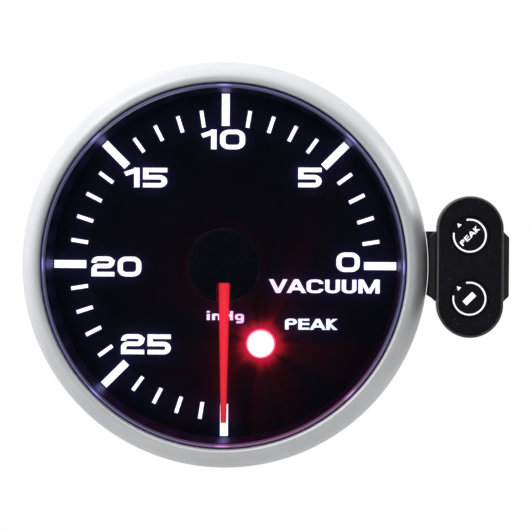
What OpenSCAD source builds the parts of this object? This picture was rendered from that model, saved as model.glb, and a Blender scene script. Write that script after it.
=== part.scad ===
// Panel vacuum gauge of the 60 mm class, with its two-button remote switch beside it.
// The gauge's axis is Y, its dial faces -Y, and the panel that it seats on is the plane Y = 0.
// Each module below draws in the dial's own frame: X to the right, Y up the dial, Z to the viewer.

/* [Window and bezel] */
// Diameter of the window in the bezel ring
window_d = 60; // [56:0.5:64]
// Width of the bezel's visible ring
bezel_w = 3.5; // [2.9:0.05:4.5]
// Height of the bezel's crest above the lens
bezel_crown = 0.6; // [0.3:0.1:1.5]

/* [Lens and dial] */
// Thickness of the lens in the window
lens_t = 2.4; // [2:0.1:3.5]
// Width of the polished bevel round the lens
lens_bevel = 0.7; // [0.3:0.05:1]
// Depth from the underside of the lens to the dial
dial_depth = 5.2; // [5:0.1:8]
// Thickness of the dial plate
dial_t = 0.5; // [0.4:0.05:1]
// Length of a numbered mark
major_len = 5.3; // [4:0.1:6]
// Width of a numbered mark
major_w = 1.3; // [0.8:0.05:1.8]
// Length of a minor mark
minor_len = 2.8; // [2:0.1:3.6]
// Width of a minor mark
minor_w = 0.62; // [0.4:0.02:0.9]
// Diameter of the peak warning lamp
lamp_d = 4.7; // [3.6:0.1:5]

/* [Pointer] */
// Width of the pointer where it leaves the hub cap
pointer_base_w = 1.95; // [1.5:0.05:2.4]
// Width of the pointer's tip
pointer_tip_w = 0.88; // [0.5:0.02:1.2]
// Thickness of the pointer
pointer_t = 1.1; // [0.8:0.05:1.5]
// Distance from the pointer's tip to the edge of the dial
pointer_tip_gap = 2.45; // [1.5:0.05:5]
// Diameter of the cap over the pointer's hub
hub_cap_d = 12.2; // [10.4:0.1:14]

/* [Case] */
// Depth of the barrel behind the panel's face
case_depth = 30; // [29:0.5:40]
// Wall of the barrel
case_wall = 1.4; // [1.1:0.05:2]
// Thickness of the rear cover
cover_t = 2; // [1.6:0.1:3]
// Distance between the two mounting studs
stud_pitch = 38; // [37:0.5:40]
// Length of a stud behind the rear cover
stud_len = 14; // [8:0.5:25]

/* [Stepper movement] */
// Module of the two gear pairs
gear_m = 0.13; // [0.12:0.001:0.135]
// Diameter of the pointer shaft
shaft_d = 1.5; // [1.2:0.05:1.6]

/* [Remote switch] */
// Width of the switch body
switch_w = 10.8; // [10.4:0.1:13]
// Length of the switch body, from its top to its bottom
switch_len = 23; // [22.6:0.1:28]
// Height of the switch's front above its cradle
switch_h = 7.4; // [7.2:0.1:9]
// Distance between the two keys
key_pitch = 10.2; // [9.9:0.05:11]
// Diameter of a key
key_d = 6.2; // [5.4:0.05:6.4]
// How far a key travels
key_travel = 0.3; // [0.15:0.05:0.4]
// Height of the cradle that the switch clips into
cradle_len = 11.4; // [9:0.1:13]
// Gap between the bezel and the cradle
switch_gap = 0.1; // [0.1:0.1:12]

/* [Hidden] */
$fn = 96;
overrun = 0.5;          // how far a cutter runs past the face it cuts
fit = 0.1;              // clearance of pieces that drop into each other
close_fit = 0.05;       // clearance of pieces that are pressed or screwed together
run_fit = 0.04;         // radial clearance of a shaft in its bearing

// Bezel
lip_w = 0.8;            // how far the bezel's lip laps over the lens's flange
skirt_gap = 0.35;       // from the lens's flange out to the bezel's skirt
edge_h = 1.1;           // straight edge of the bezel next to the panel
lip_chamfer = 0.35;     // chamfer on the edge of the window
crest_share = 0.14;     // where the crest lies, across the visible ring
dome_power = 2.6;       // how square the bezel's shoulder is
dome_steps = 14;
window_r = window_d / 2;
bezel_r = window_r + bezel_w;
flange_r = window_r + lip_w + skirt_gap - close_fit;

// Lens and gasket
window_gap = 0.22;      // dark gap between the lens and the bezel
lens_flange_t = 1;
gasket_t = 0.5;
lens_r = window_r - window_gap;
lens_flange_r = window_r + lip_w;

// Case
shelf_t = 0.3;          // shelf that the dial lies on, above the panel's face
barrel_inset = 0.7;     // barrel's radius, short of the window's
rim_inset = 0.25;       // inside of the case's rim, short of the window's radius
barrel_r = window_r - barrel_inset;
bore_r = barrel_r - case_wall;
rim_r = window_r - rim_inset;

// Heights above the panel's face
dial_z = shelf_t + dial_t;
lens_z = dial_z + dial_depth;
lens_top_z = lens_z + lens_t;
rim_z = lens_z - gasket_t;
bezel_h = lens_top_z + bezel_crown;

// Dial
dial_ring_foot = 1.2;   // thickness of the dial ring at the dial
dial_ring_head = 0.6;   // thickness of the dial ring under the lens
mark_gap = 0.15;        // from the marks to the dial ring
mark_t = 0.2;
mark_proud = 0.02;
dial_hole_r = 2.4;
major_count = 7;
minor_per_major = 5;
major_angle = 45;        // degrees between numbered marks, the first one at 3 o'clock
lamp_share = [0.211, -0.456];  // the lamp's centre, as shares of the dial's radius
lamp_proud = 1.3;
lamp_flange = 0.45;
lamp_flange_t = 1;
dial_r = rim_r - fit;
view_r = dial_r - dial_ring_foot;
mark_r = view_r - mark_gap;
lamp_r = lamp_d / 2;
lamp_xy = lamp_share * view_r;

// Pointer and hub cap
pointer_lift = 1.1;     // from the dial to the pointer
pointer_hub_r = 2.3;
pointer_socket_r = 1.7; // tube of the pointer that grips the shaft
pointer_socket_gap = 0.3;
cap_lift = 0.7;         // from the dial to the cap's skirt
cap_lens_gap = 0.9;     // from the cap to the lens
cap_wall = 0.7;
cap_slot_share = 0.469; // where the slot begins, as a share of the cap's radius
cap_slot_gap = 0.12;
shaft_end_gap = 0.6;    // hollow over the shaft's end, in the cap
cap_edge = 0.5;         // rounding of the cap's upper edge
cap_edge_steps = 5;
cap_r = hub_cap_d / 2;
cap_z = dial_z + cap_lift;
cap_top_z = lens_z - cap_lens_gap;
pointer_z = dial_z + pointer_lift;
pointer_r = view_r - pointer_tip_gap;
shaft_r = shaft_d / 2;

// Light guide, reflector and boards, from the dial back
guide_t = 2.5;
guide_hole_r = 7;
reflector_h = 3;
reflector_wall = 1.2;
reflector_hub_r = 9.5;
reflector_web_t = 0.8;
reflector_ribs = 12;
rib_inset = 0.4;        // from a rib's edges to the frame's faces
board_t = 1.6;
board_gap = 0.25;       // from a board's edge to the barrel
guide_z = shelf_t - guide_t;
board_z = guide_z - reflector_h;
board_back_z = board_z - board_t;
guide_r = bore_r - fit;
board_r = bore_r - board_gap;
led_w = 2.8;
led_l = 2;
led_t = 0.9;
led_count = 12;
led_angle = 30;
led_edge_gap = 2.6;     // from the lights to the reflector's wall
led_ring_r = guide_r - reflector_wall - led_edge_gap;
pointer_led_w = 1.6;
pointer_led_l = 0.9;
pointer_led_count = 4;
pointer_led_r = 3.6;

// Gear train: pointer wheel, idler and rotor, each on its own centre down the dial
wheel_teeth = 120;
idler_teeth = 96;
pinion_teeth = 8;
pressure_angle = 20;          // degrees
backlash = 0.035;
wheel_tip = 0.8;        // in modules
pinion_tip = 1;         // in modules
tooth_root = 1.3;       // in modules
wheel_t = 0.9;
idler_t = 0.8;
layer_gap = 0.3;
magnet_r = 2.6;
magnet_t = 2.6;
arbor_r = 0.16;
hub_wall = 0.7;
wheel_r = gear_m * wheel_teeth / 2;
idler_r = gear_m * idler_teeth / 2;
pinion_r = gear_m * pinion_teeth / 2;
idler_y = -(wheel_r + pinion_r);
rotor_y = idler_y - (idler_r + pinion_r);

// Motor housing
motor_wall = 1;
motor_gap = 0.6;        // from the gears and the stator to the wall
motor_floor = 1;
motor_corner = 2;
boss_t = 0.5;
stator_hole_gap = 0.4;
stator_frame = 1.5;     // stator iron beyond the rotor's hole
stator_t = 0.8;
stator_slit = 0.5;
arm_w = 1.8;
arm_gap = 0.5;          // from the idler wheel to a coil arm
yoke_w = 1.5;
yoke_gap = 0.8;         // from the pointer shaft to the yoke
coil_r = 1.95;
bobbin_wall = 0.4;
bobbin_flange_t = 0.5;
bobbin_flange_r = 2.05;
coil_gap = 0.3;         // from a bobbin to the stator's ends
motor_z = board_back_z;
cover_in_z = motor_z - motor_wall;
wheel_z = cover_in_z - layer_gap - wheel_t;
idler_z = wheel_z - layer_gap - idler_t;
magnet_z = idler_z - 2 * layer_gap - magnet_t;
stator_z = magnet_z + (magnet_t - stator_t) / 2;
motor_floor_z = min(magnet_z, stator_z + stator_t / 2 - bobbin_flange_r) - motor_gap;
motor_back_z = motor_floor_z - motor_floor;
stator_hole_r = magnet_r + stator_hole_gap;
arm_x = idler_r + gear_m + arm_gap + arm_w / 2;
yoke_y = -(shaft_r + yoke_gap);
stator_y = rotor_y - stator_hole_r - stator_frame;
stator_top_y = rotor_y + stator_hole_r + stator_frame;
coil_end_y = yoke_y - yoke_w - coil_gap;
coil_start_y = stator_top_y + coil_gap;
motor_half_w = max(wheel_r + gear_m, arm_x + bobbin_flange_r) + motor_gap + motor_wall;
motor_top_y = wheel_r + gear_m + motor_gap + motor_wall;
motor_bottom_y = stator_y - motor_gap - motor_wall;

// Rear board and what stands on it
board_place_share = 0.31;  // where the rear board lies, of the free depth behind the motor
main_z = motor_back_z - board_place_share * (case_depth + motor_back_z - board_t);
main_back_z = main_z - board_t;
rear_room = case_depth + main_back_z;
standoff_r = 2.3;
standoff_edge_gap = 3.2;
standoff_angle = 90;     // degrees to the first of three
standoff_ring_r = board_r - standoff_edge_gap - standoff_r;
board_screw_r = 1.1;
board_screw_head_r = 2;
board_screw_head_t = 1.2;
board_screw_len = 4.5;
chip_w = 9;
chip_t = 1.2;
chip_corner = 0.6;
chip_share = [-0.42, 0.42];
regulator_w = 6.5;
regulator_l = 6;
regulator_t = 2.3;
regulator_share = [0.48, -0.52];
capacitor_r = 3.15;
capacitor_h_share = 0.7;  // of the room behind the board
capacitor_h = capacitor_h_share * rear_room;
capacitor_share = [[-0.23, 0.66], [0.23, 0.66]];
header_share = [0.5, 0.5];
header_pins = 6;
header_bar_w = 2;
header_pitch = header_bar_w;
header_bar_t = 2;
header_pin_w = 0.5;

// Rear cover, screws and studs
spigot_h = 1.6;
spigot_wall = 1.2;
boss_r = 2.5;
boss_gap = 1.3;         // from a boss to the rear board
boss_h = rear_room - boss_gap;
boss_sink_share = 0.8;  // how much of a boss's radius stands inside the barrel's wall
cover_screw_r = 1.25;
cover_screw_head_r = 2.3;
cover_screw_head_t = 1.2;
cover_screw_share = 0.675;  // how much of a boss its screw fills
cover_screw_len = cover_t - cover_screw_head_t + cover_screw_share * boss_h;
cover_screw_angle = 45;
head_top_share = 0.85;  // a screw head's top and its cross recess, as shares of its radius
recess_share = 0.6;
recess_w_share = 0.26;
post_r = 1.8;
post_count = 3;
post_angle = 30;
post_share = 0.71;
stud_r = 2;
stud_shoulder_r = 2.6;  // shoulder of a stud, in the rear cover
stud_head_r = 3.4;
stud_head_t = 1.4;
stud_tip = 0.5;         // chamfer at a stud's end
cover_z = -case_depth;
cover_back_z = cover_z - cover_t;
boss_ring_r = bore_r - boss_r * boss_sink_share;

// Sockets for the three leads
pin_cell_w = 2.5;       // width of the socket for each pin
pin_w = 0.64;
pin_tip_share = 0.4;    // how far a pin stands above the cavity's floor, of its depth
pin_gap = 0.02;
socket_end = 1;         // from the last pin's cell to the cavity's end
socket_wall = 0.8;
socket_in_w = 5.2;
socket_depth_share = 0.64;  // of the socket's whole length
socket_proud = 1.2;
socket_key_w = 1.4;
socket_z = cover_back_z - socket_proud;
socket_depth = socket_depth_share * (main_back_z - socket_z);
pin_tip = pin_tip_share * socket_depth;
socket_floor_z = socket_z + socket_depth;
power_pins = 4;
sensor_pins = 3;
switch_pins = 4;
power_xy = [0, 9];
sensor_xy = [-8.5, -6];
switch_xy = [8.5, -6];

// Remote switch, from the panel forward
pad_t = 0.8;
pad_inset = 0.3;
cheek_gap = 0.1;        // from the bezel's gap to the nearer cheek
cradle_t = 1.4;
cheek_t = 1;
cheek_h = 3;
cradle_chamfer = 0.9;
cradle_reach = 1;       // how far the cradle's plate goes past its cheek, towards the bezel
foot_cut = [2.1, 1.3];  // corner cut off the plate's foot on the bezel's side
base_wall = 1;
base_h = 3.2;
seam_lip = 0.5;
cover_top_t = 1.2;
edge_round = 0.4;
edge_steps = 4;
face_t = 0.25;
face_inset = 0.45;
key_gap = 0.1;
key_hole_margin = 0.2;
key_flange = 0.45;
key_flange_t = 0.6;
key_stem_r = 1.2;
pcb_t = 1;
pcb_rib = 0.4;
pcb_rib_w = 0.8;
tact_w = 4.6;
tact_h = 1.8;
plunger_r = 0.9;
plunger_sink = 1;
key_lamp_w = 1.2;
key_lamp_t = 0.6;
key_lamp_share = 0.38;  // of the room beside a push switch, the width of its light
key_lamp_place_share = 0.4;  // of that room, where the light's middle lies
switch_screw_r = 0.7;
switch_screw_head_r = 1.3;
switch_screw_head_t = 0.6;
switch_screw_x = 2.6;
switch_boss_r = 1.3;
grommet_flange_t = 0.7;
grommet_share = 0.345;  // its flange, neck and bore, of the switch's length below the cradle
grommet_neck_share = 0.26;
grommet_bore_share = 0.155;
cradle_w = switch_w + 2 * (fit + cheek_t);
switch_x = bezel_r + switch_gap + cheek_gap + cradle_w / 2;
switch_y = 0.1;
cradle_z = pad_t;
base_z = cradle_z + cradle_t;
seam_z = base_z + base_h;
top_z = base_z + switch_h;
pcb_z = base_z + base_wall + pcb_rib;
tact_z = pcb_z + pcb_t;
key_under_z = top_z - cover_top_t;
below_cradle = (switch_len - cradle_len) / 2;
grommet_y = -(cradle_len + below_cradle) / 2;
grommet_r = grommet_share * below_cradle;
grommet_neck_r = grommet_neck_share * below_cradle;
grommet_bore_r = grommet_bore_share * below_cradle;
key_stem_z = tact_z + tact_h + key_travel + close_fit;

// Placing

// Turns the dial's frame so that it faces -Y
module face_on() {
    rotate([90, 0, 0]) children();
}

// The remote switch's own centre, on the panel's face
module at_switch() {
    face_on() translate([switch_x, switch_y, 0]) children();
}

// Copies evenly round the axis, the first at the angle first
module around(count, radius, first = 0) {
    for (i = [0 : count - 1]) {
        rotate(first + i * 360 / count) translate([radius, 0, 0]) children();
    }
}

// Plain shapes that repeat

// Ring between two radii, from z up by h
module ring(outer, inner, z, h) {
    translate([0, 0, z]) difference() {
        cylinder(r = outer, h = h);
        translate([0, 0, -overrun]) cylinder(r = inner, h = h + 2 * overrun);
    }
}

// Box centred on x and y, from z up by h
module block(w, l, z, h) {
    translate([-w / 2, -l / 2, z]) cube([w, l, h]);
}

// Slab with round corners, centred on x and y
module rounded_slab(w, l, corner, z, h) {
    block(w - 2 * corner, l, z, h);
    block(w, l - 2 * corner, z, h);
    for (sx = [-1, 1], sy = [-1, 1]) {
        translate([sx * (w / 2 - corner), sy * (l / 2 - corner), z]) cylinder(r = corner, h = h);
    }
}

// Slab with two round ends, its long way along y
module stadium(w, l, z, h) {
    block(w, l - w, z, h);
    for (sy = [-1, 1]) {
        translate([0, sy * (l - w) / 2, z]) cylinder(d = w, h = h);
    }
}

// Half section of a round piece, from its axis at z up by h, with its upper edge rounded
function half_section(r, z, h, edge, steps) = concat([[0, z], [r, z]],
    [for (i = [0 : steps]) let (a = 90 * i / steps)
        [r - edge + edge * cos(a), z + h - edge + edge * sin(a)]],
    [[0, z + h]]);

// Stadium whose upper edge is rounded
module rounded_stadium(w, l, z, h, edge, steps) {
    half = half_section(w / 2, z, h, edge, steps);
    mirrored = [for (i = [len(half) - 2 : -1 : 1]) [-half[i].x, half[i].y]];
    translate([0, (l - w) / 2, 0]) rotate([90, 0, 0]) linear_extrude(l - w)
        polygon(concat(half, mirrored));
    for (sy = [-1, 1]) {
        translate([0, sy * (l - w) / 2, 0]) rotate_extrude() polygon(half);
    }
}

// Round-headed screw whose head's underside is at z, with its shank going up or down
module screw(r, len, head_r, head_t, up) {
    mirror([0, 0, up ? 0 : 1]) {
        cylinder(r = r, h = len);
        difference() {
            translate([0, 0, -head_t])
                cylinder(r1 = head_r * head_top_share, r2 = head_r, h = head_t);
            for (turn = [0, 90]) {
                rotate(turn) block(2 * head_r * recess_share, head_r * recess_w_share,
                    -head_t - overrun, overrun + head_t / 2);
            }
        }
    }
}

// Bezel, lens and case

// Outline of the bezel's crown: over the crest in a chamfer, then down a round shoulder
function shoulder(t) = pow(1 - pow(t, dome_power), 1 / dome_power);
crest_r = window_r + crest_share * bezel_w;
crown = [
    for (i = [0 : dome_steps])
        let (t = sin(90 * i / dome_steps))
        [crest_r + (bezel_r - crest_r) * t, edge_h + (bezel_h - edge_h) * shoulder(t)]
];

module bezel_ring() {
    lip_z = lens_z + lens_flange_t + close_fit;
    color("silver") face_on() rotate_extrude() polygon(concat(
        [[flange_r + close_fit, 0], [flange_r + close_fit, lip_z], [window_r, lip_z],
         [window_r, bezel_h - bezel_crown], [window_r + lip_chamfer, bezel_h - lip_chamfer / 2]],
        crown,
        [[bezel_r, 0]]
    ));
}

module lens() {
    flange_z = lens_z + lens_flange_t;
    color([0.1, 0.1, 0.12, 0.4]) face_on() rotate_extrude() polygon([
        [0, lens_z], [lens_flange_r, lens_z], [lens_flange_r, flange_z], [lens_r, flange_z],
        [lens_r, lens_top_z - lens_bevel / 2], [lens_r - lens_bevel, lens_top_z], [0, lens_top_z]
    ]);
}

module lens_gasket() {
    color("black") face_on() ring(lens_flange_r, rim_r, rim_z, gasket_t);
}

module case() {
    boss_z = cover_z + boss_h;
    color("dimgray") face_on() difference() {
        union() {
            rotate_extrude() polygon([
                [bore_r, cover_z], [barrel_r, cover_z], [barrel_r, 0], [flange_r, 0],
                [flange_r, rim_z], [rim_r, rim_z], [rim_r, shelf_t], [bore_r, shelf_t]
            ]);
            around(4, boss_ring_r, cover_screw_angle) {
                translate([0, 0, cover_z + spigot_h + fit]) cylinder(r = boss_r,
                    h = boss_z - cover_z - spigot_h - fit);
            }
        }
        around(4, boss_ring_r, cover_screw_angle) {
            translate([0, 0, cover_z - overrun])
                cylinder(r = cover_screw_r + close_fit, h = cover_screw_len + overrun);
        }
    }
}

// Rear cover with its spigot, the posts that carry the rear board, and its openings
module rear_cover() {
    post_z = cover_z - cover_t / 2;
    color("dimgray") face_on() difference() {
        union() {
            translate([0, 0, cover_back_z]) cylinder(r = barrel_r, h = cover_t);
            ring(bore_r - fit, bore_r - fit - spigot_wall, cover_z, spigot_h);
            around(post_count, post_share * bore_r, post_angle) {
                translate([0, 0, post_z]) cylinder(r = post_r, h = main_back_z - post_z);
            }
        }
        around(4, boss_ring_r, cover_screw_angle) {
            translate([0, 0, cover_back_z - overrun]) {
                cylinder(r = cover_screw_r + close_fit, h = cover_t + spigot_h + 2 * overrun);
                cylinder(r = cover_screw_head_r + fit, h = cover_screw_head_t + overrun);
            }
        }
        for (sx = [-1, 1]) {
            translate([sx * stud_pitch / 2, 0, cover_back_z - overrun])
                cylinder(r = stud_shoulder_r + close_fit, h = cover_t + 2 * overrun);
        }
        socket_window(power_xy, power_pins);
        socket_window(sensor_xy, sensor_pins);
        socket_window(switch_xy, switch_pins);
    }
}

// Opening in the rear cover that a socket stands in
module socket_window(xy, pins) {
    translate(xy) block(socket_outer_l(pins) + 2 * fit, socket_outer_w() + 2 * fit,
        cover_back_z - overrun, cover_t + 2 * overrun);
}

module cover_screws() {
    color("gainsboro") face_on() around(4, boss_ring_r, cover_screw_angle) {
        translate([0, 0, cover_back_z + cover_screw_head_t])
            screw(cover_screw_r, cover_screw_len, cover_screw_head_r, cover_screw_head_t, true);
    }
}

// Threaded studs, each with a head inside the rear cover and a shoulder through it
module mounting_studs() {
    color("silver") face_on() for (sx = [-1, 1]) {
        translate([sx * stud_pitch / 2, 0, 0]) {
            translate([0, 0, cover_z]) cylinder(r = stud_head_r, h = stud_head_t, $fn = 6);
            translate([0, 0, cover_back_z]) cylinder(r = stud_shoulder_r, h = cover_t);
            translate([0, 0, cover_back_z - stud_len + stud_tip])
                cylinder(r = stud_r, h = stud_len - stud_tip);
            translate([0, 0, cover_back_z - stud_len])
                cylinder(r1 = stud_r - stud_tip, r2 = stud_r, h = stud_tip);
        }
    }
}

// Dial

module dial_ring() {
    color("black") face_on() rotate_extrude() polygon([
        [view_r, dial_z], [dial_r, dial_z], [dial_r, lens_z], [dial_r - dial_ring_head, lens_z]
    ]);
}

// One bar of the scale at a reading's angle, from radius r in by len
module mark(angle, r, len, w, z, h) {
    rotate(angle) translate([r - len / 2, 0, 0]) block(len, w, z, h);
}

// The whole scale: numbered marks reach the edge, minor marks start with them
module marks(z, h) {
    for (i = [0 : major_count - 1]) {
        mark(i * major_angle, mark_r, major_len, major_w, z, h);
        if (i < major_count - 1) {
            for (j = [1 : minor_per_major - 1]) {
                mark((i + j / minor_per_major) * major_angle,
                    mark_r - major_len + minor_len, minor_len, minor_w, z, h);
            }
        }
    }
}

module dial_plate() {
    color("black") face_on() difference() {
        translate([0, 0, shelf_t]) cylinder(r = dial_r, h = dial_t);
        translate([0, 0, shelf_t - overrun]) cylinder(r = dial_hole_r, h = dial_t + 2 * overrun);
        translate([lamp_xy.x, lamp_xy.y, shelf_t - overrun])
            cylinder(r = lamp_r + fit, h = dial_t + 2 * overrun);
        marks(dial_z - mark_t, mark_t + overrun);
    }
}

module scale_marks() {
    color("white") face_on() marks(dial_z - mark_t, mark_t + mark_proud);
}

// Red lamp: a flange on the board, a round body, and a dome above the dial
module peak_lamp() {
    dome = [for (i = [0 : dome_steps]) let (a = 90 * i / dome_steps)
        [lamp_r * cos(a), dial_z + lamp_proud * sin(a)]];
    color("red") face_on() translate([lamp_xy.x, lamp_xy.y, 0]) rotate_extrude() polygon(concat(
        [[0, board_z], [lamp_r + lamp_flange, board_z], [lamp_r + lamp_flange,
          board_z + lamp_flange_t], [lamp_r, board_z + lamp_flange_t]], dome
    ));
}

// Pointer, at rest straight down the dial

module pointer() {
    color("red") face_on() {
        difference() {
            union() {
                translate([0, 0, pointer_z]) linear_extrude(pointer_t) polygon([
                    [-pointer_base_w / 2, 0], [-pointer_tip_w / 2, -pointer_r],
                    [pointer_tip_w / 2, -pointer_r], [pointer_base_w / 2, 0]
                ]);
                translate([0, 0, pointer_z]) cylinder(r = pointer_hub_r, h = pointer_t);
                translate([0, 0, dial_z + pointer_socket_gap])
                    cylinder(r = pointer_socket_r, h = pointer_lift - pointer_socket_gap);
            }
            translate([0, 0, dial_z]) cylinder(r = shaft_r + close_fit, h = dial_depth);
        }
    }
}

// Cap over the hub: a skirt, a rounded top, and a slot that shows the pointer
module hub_cap() {
    slot_w = pointer_base_w + 2 * cap_slot_gap;
    slot_y = cap_slot_share * cap_r;
    inner_z = pointer_z + pointer_t;
    color("black") face_on() difference() {
        rotate_extrude()
            polygon(half_section(cap_r, cap_z, cap_top_z - cap_z, cap_edge, cap_edge_steps));
        translate([0, 0, cap_z - overrun])
            cylinder(r = cap_r - cap_wall, h = inner_z - cap_z + overrun);
        translate([-slot_w / 2, -cap_r - overrun, cap_z - overrun])
            cube([slot_w, cap_r + overrun - slot_y, cap_top_z - cap_z + 2 * overrun]);
        translate([0, 0, inner_z - overrun])
            cylinder(r = shaft_r + close_fit, h = overrun + shaft_end_gap);
    }
}

module pointer_shaft() {
    color("gainsboro") face_on() translate([0, 0, motor_floor_z - boss_t])
        cylinder(r = shaft_r, h = pointer_z + pointer_t + shaft_end_gap / 2 - motor_floor_z + boss_t);
}

// Gears

function involute(a) = tan(a) * 180 / PI - a;

// Half the angle that a tooth spans at radius r
function half_tooth(r, teeth) =
    let (pitch_r = gear_m * teeth / 2, base_r = pitch_r * cos(pressure_angle))
    90 / teeth - backlash / pitch_r * 90 / PI / 2
        + involute(pressure_angle) - involute(acos(base_r / max(r, base_r)));

// Outline of a gear with a tooth at angle first; tip is its addendum in modules
function gear_points(teeth, tip, first, steps) =
    let (pitch_r = gear_m * teeth / 2, root_r = pitch_r - tooth_root * gear_m,
         tip_r = pitch_r + tip * gear_m)
    [for (i = [0 : teeth - 1], side = [-1, 1], k = [0 : steps])
        let (j = side < 0 ? k : steps - k, r = root_r + (tip_r - root_r) * j / steps,
             a = first + i * 360 / teeth + side * half_tooth(r, teeth))
        [r * cos(a), r * sin(a)]];

module gear(teeth, tip, first, steps, bore, z, h) {
    translate([0, 0, z]) difference() {
        linear_extrude(h) polygon(gear_points(teeth, tip, first, steps));
        translate([0, 0, -overrun]) cylinder(r = bore, h = h + 2 * overrun, $fn = 48);
    }
}

// Pointer wheel, fixed on the pointer shaft, with a tooth towards the idler
module output_wheel() {
    color("ivory") face_on() {
        gear(wheel_teeth, wheel_tip, -90, 1, shaft_r + close_fit / 2, wheel_z, wheel_t);
        ring(shaft_r + hub_wall, shaft_r + close_fit / 2, motor_floor_z + boss_t,
            wheel_z - motor_floor_z - boss_t);
    }
}

// Idler: a pinion in mesh with the pointer wheel, over a wheel in mesh with the rotor's pinion
module idler_gear() {
    bore = arbor_r + run_fit;
    color("ivory") face_on() translate([0, idler_y, 0]) {
        gear(pinion_teeth, pinion_tip, 90 + 180 / pinion_teeth, 3, bore,
            idler_z + idler_t, wheel_z + wheel_t - idler_z - idler_t);
        gear(idler_teeth, wheel_tip, -90, 1, bore, idler_z, idler_t);
    }
}

module rotor_pinion() {
    color("ivory") face_on() translate([0, rotor_y, 0])
        gear(pinion_teeth, pinion_tip, 90 + 180 / pinion_teeth, 3, arbor_r + run_fit,
            magnet_z + magnet_t, idler_z + idler_t - magnet_z - magnet_t);
}

module rotor_magnet() {
    color("gray") face_on() translate([0, rotor_y, 0])
        ring(magnet_r, arbor_r + run_fit, magnet_z, magnet_t);
}

// Fixed pins that the idler and the rotor turn on
module motor_arbors() {
    color("gainsboro") face_on() for (y = [idler_y, rotor_y]) {
        translate([0, y, motor_floor_z]) cylinder(r = arbor_r, h = cover_in_z - motor_floor_z);
    }
}

// Motor

// Outline of the motor's housing, less an inset all round
module motor_slab(inset, z, h) {
    translate([0, (motor_top_y + motor_bottom_y) / 2, 0])
        rounded_slab(2 * (motor_half_w - inset), motor_top_y - motor_bottom_y - 2 * inset,
            motor_corner - inset, z, h);
}

module motor_case() {
    color("dimgray") face_on() difference() {
        motor_slab(0, motor_back_z, cover_in_z - motor_back_z);
        motor_slab(motor_wall, motor_floor_z, cover_in_z - motor_floor_z + overrun);
        translate([0, 0, motor_floor_z - boss_t])
            cylinder(r = shaft_r + run_fit, h = boss_t + overrun);
    }
}

module motor_cover() {
    color("gray") face_on() difference() {
        motor_slab(0, cover_in_z, motor_wall);
        translate([0, 0, cover_in_z - overrun])
            cylinder(r = shaft_r + run_fit, h = motor_wall + 2 * overrun);
    }
}

// Stator iron: two poles round the rotor, an arm through each coil, and the yoke that joins them
module stator() {
    frame_half_w = arm_x + arm_w / 2;
    color("lightsteelblue") face_on() difference() {
        union() {
            translate([-frame_half_w, stator_y, stator_z])
                cube([2 * frame_half_w, stator_top_y - stator_y, stator_t]);
            for (sx = [-1, 1]) {
                translate([sx * arm_x - arm_w / 2, stator_y, stator_z])
                    cube([arm_w, yoke_y - stator_y, stator_t]);
            }
            translate([-frame_half_w, yoke_y - yoke_w, stator_z])
                cube([2 * frame_half_w, yoke_w, stator_t]);
        }
        translate([0, rotor_y, stator_z - overrun])
            cylinder(r = stator_hole_r, h = stator_t + 2 * overrun);
        translate([-stator_slit / 2, stator_y - overrun, stator_z - overrun])
            cube([stator_slit, stator_top_y - stator_y + 2 * overrun, stator_t + 2 * overrun]);
        translate([0, idler_y, stator_z - overrun])
            cylinder(r = arbor_r + hub_wall, h = stator_t + 2 * overrun);
    }
}

// A round piece along a stator arm, from one y to another, with the arm's slot through it
module on_arms(r, inner, from_y, to_y) {
    for (sx = [-1, 1]) {
        translate([sx * arm_x, from_y, stator_z + stator_t / 2]) rotate([-90, 0, 0]) difference() {
            cylinder(r = r, h = to_y - from_y);
            translate([0, 0, -overrun]) cylinder(r = inner, h = to_y - from_y + 2 * overrun);
        }
    }
}

bobbin_bore_r = norm([arm_w, stator_t]) / 2 + run_fit;

module coil_bobbins() {
    color("white") face_on() {
        on_arms(bobbin_bore_r + bobbin_wall, bobbin_bore_r, coil_start_y, coil_end_y);
        on_arms(bobbin_flange_r, bobbin_bore_r, coil_start_y, coil_start_y + bobbin_flange_t);
        on_arms(bobbin_flange_r, bobbin_bore_r, coil_end_y - bobbin_flange_t, coil_end_y);
    }
}

module motor_coils() {
    color("peru") face_on() on_arms(coil_r, bobbin_bore_r + bobbin_wall + run_fit,
        coil_start_y + bobbin_flange_t + run_fit, coil_end_y - bobbin_flange_t - run_fit);
}

// Lighting

module light_guide() {
    color([0.8, 0.9, 1, 0.5]) face_on() difference() {
        translate([0, 0, guide_z]) cylinder(r = guide_r, h = guide_t);
        translate([0, 0, guide_z - overrun]) cylinder(r = guide_hole_r, h = guide_t + 2 * overrun);
        translate([lamp_xy.x, lamp_xy.y, guide_z - overrun])
            cylinder(r = lamp_r + fit, h = guide_t + 2 * overrun);
    }
}

// White frame that carries the light guide: an outer wall, a hub wall, and low ribs between
module reflector_frame() {
    rib_l = guide_r - reflector_hub_r - reflector_wall;
    color("white") face_on() difference() {
        union() {
            ring(guide_r, guide_r - reflector_wall, board_z, reflector_h);
            ring(reflector_hub_r + reflector_wall, reflector_hub_r, board_z, reflector_h);
            around(reflector_ribs, reflector_hub_r + reflector_wall / 2 + rib_l / 2) {
                block(rib_l, reflector_web_t, board_z + rib_inset, reflector_h - 2 * rib_inset);
            }
            translate([lamp_xy.x, lamp_xy.y, board_z + rib_inset / 2]) cylinder(
                r = lamp_r + lamp_flange + fit + reflector_web_t, h = reflector_h - rib_inset);
        }
        translate([lamp_xy.x, lamp_xy.y, board_z - overrun])
            cylinder(r = lamp_r + lamp_flange + fit, h = reflector_h + 2 * overrun);
        around(3, standoff_ring_r, standoff_angle) {
            translate([0, 0, board_z - overrun])
                cylinder(r = board_screw_head_r + fit, h = board_screw_head_t + fit + overrun);
        }
    }
}

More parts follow.
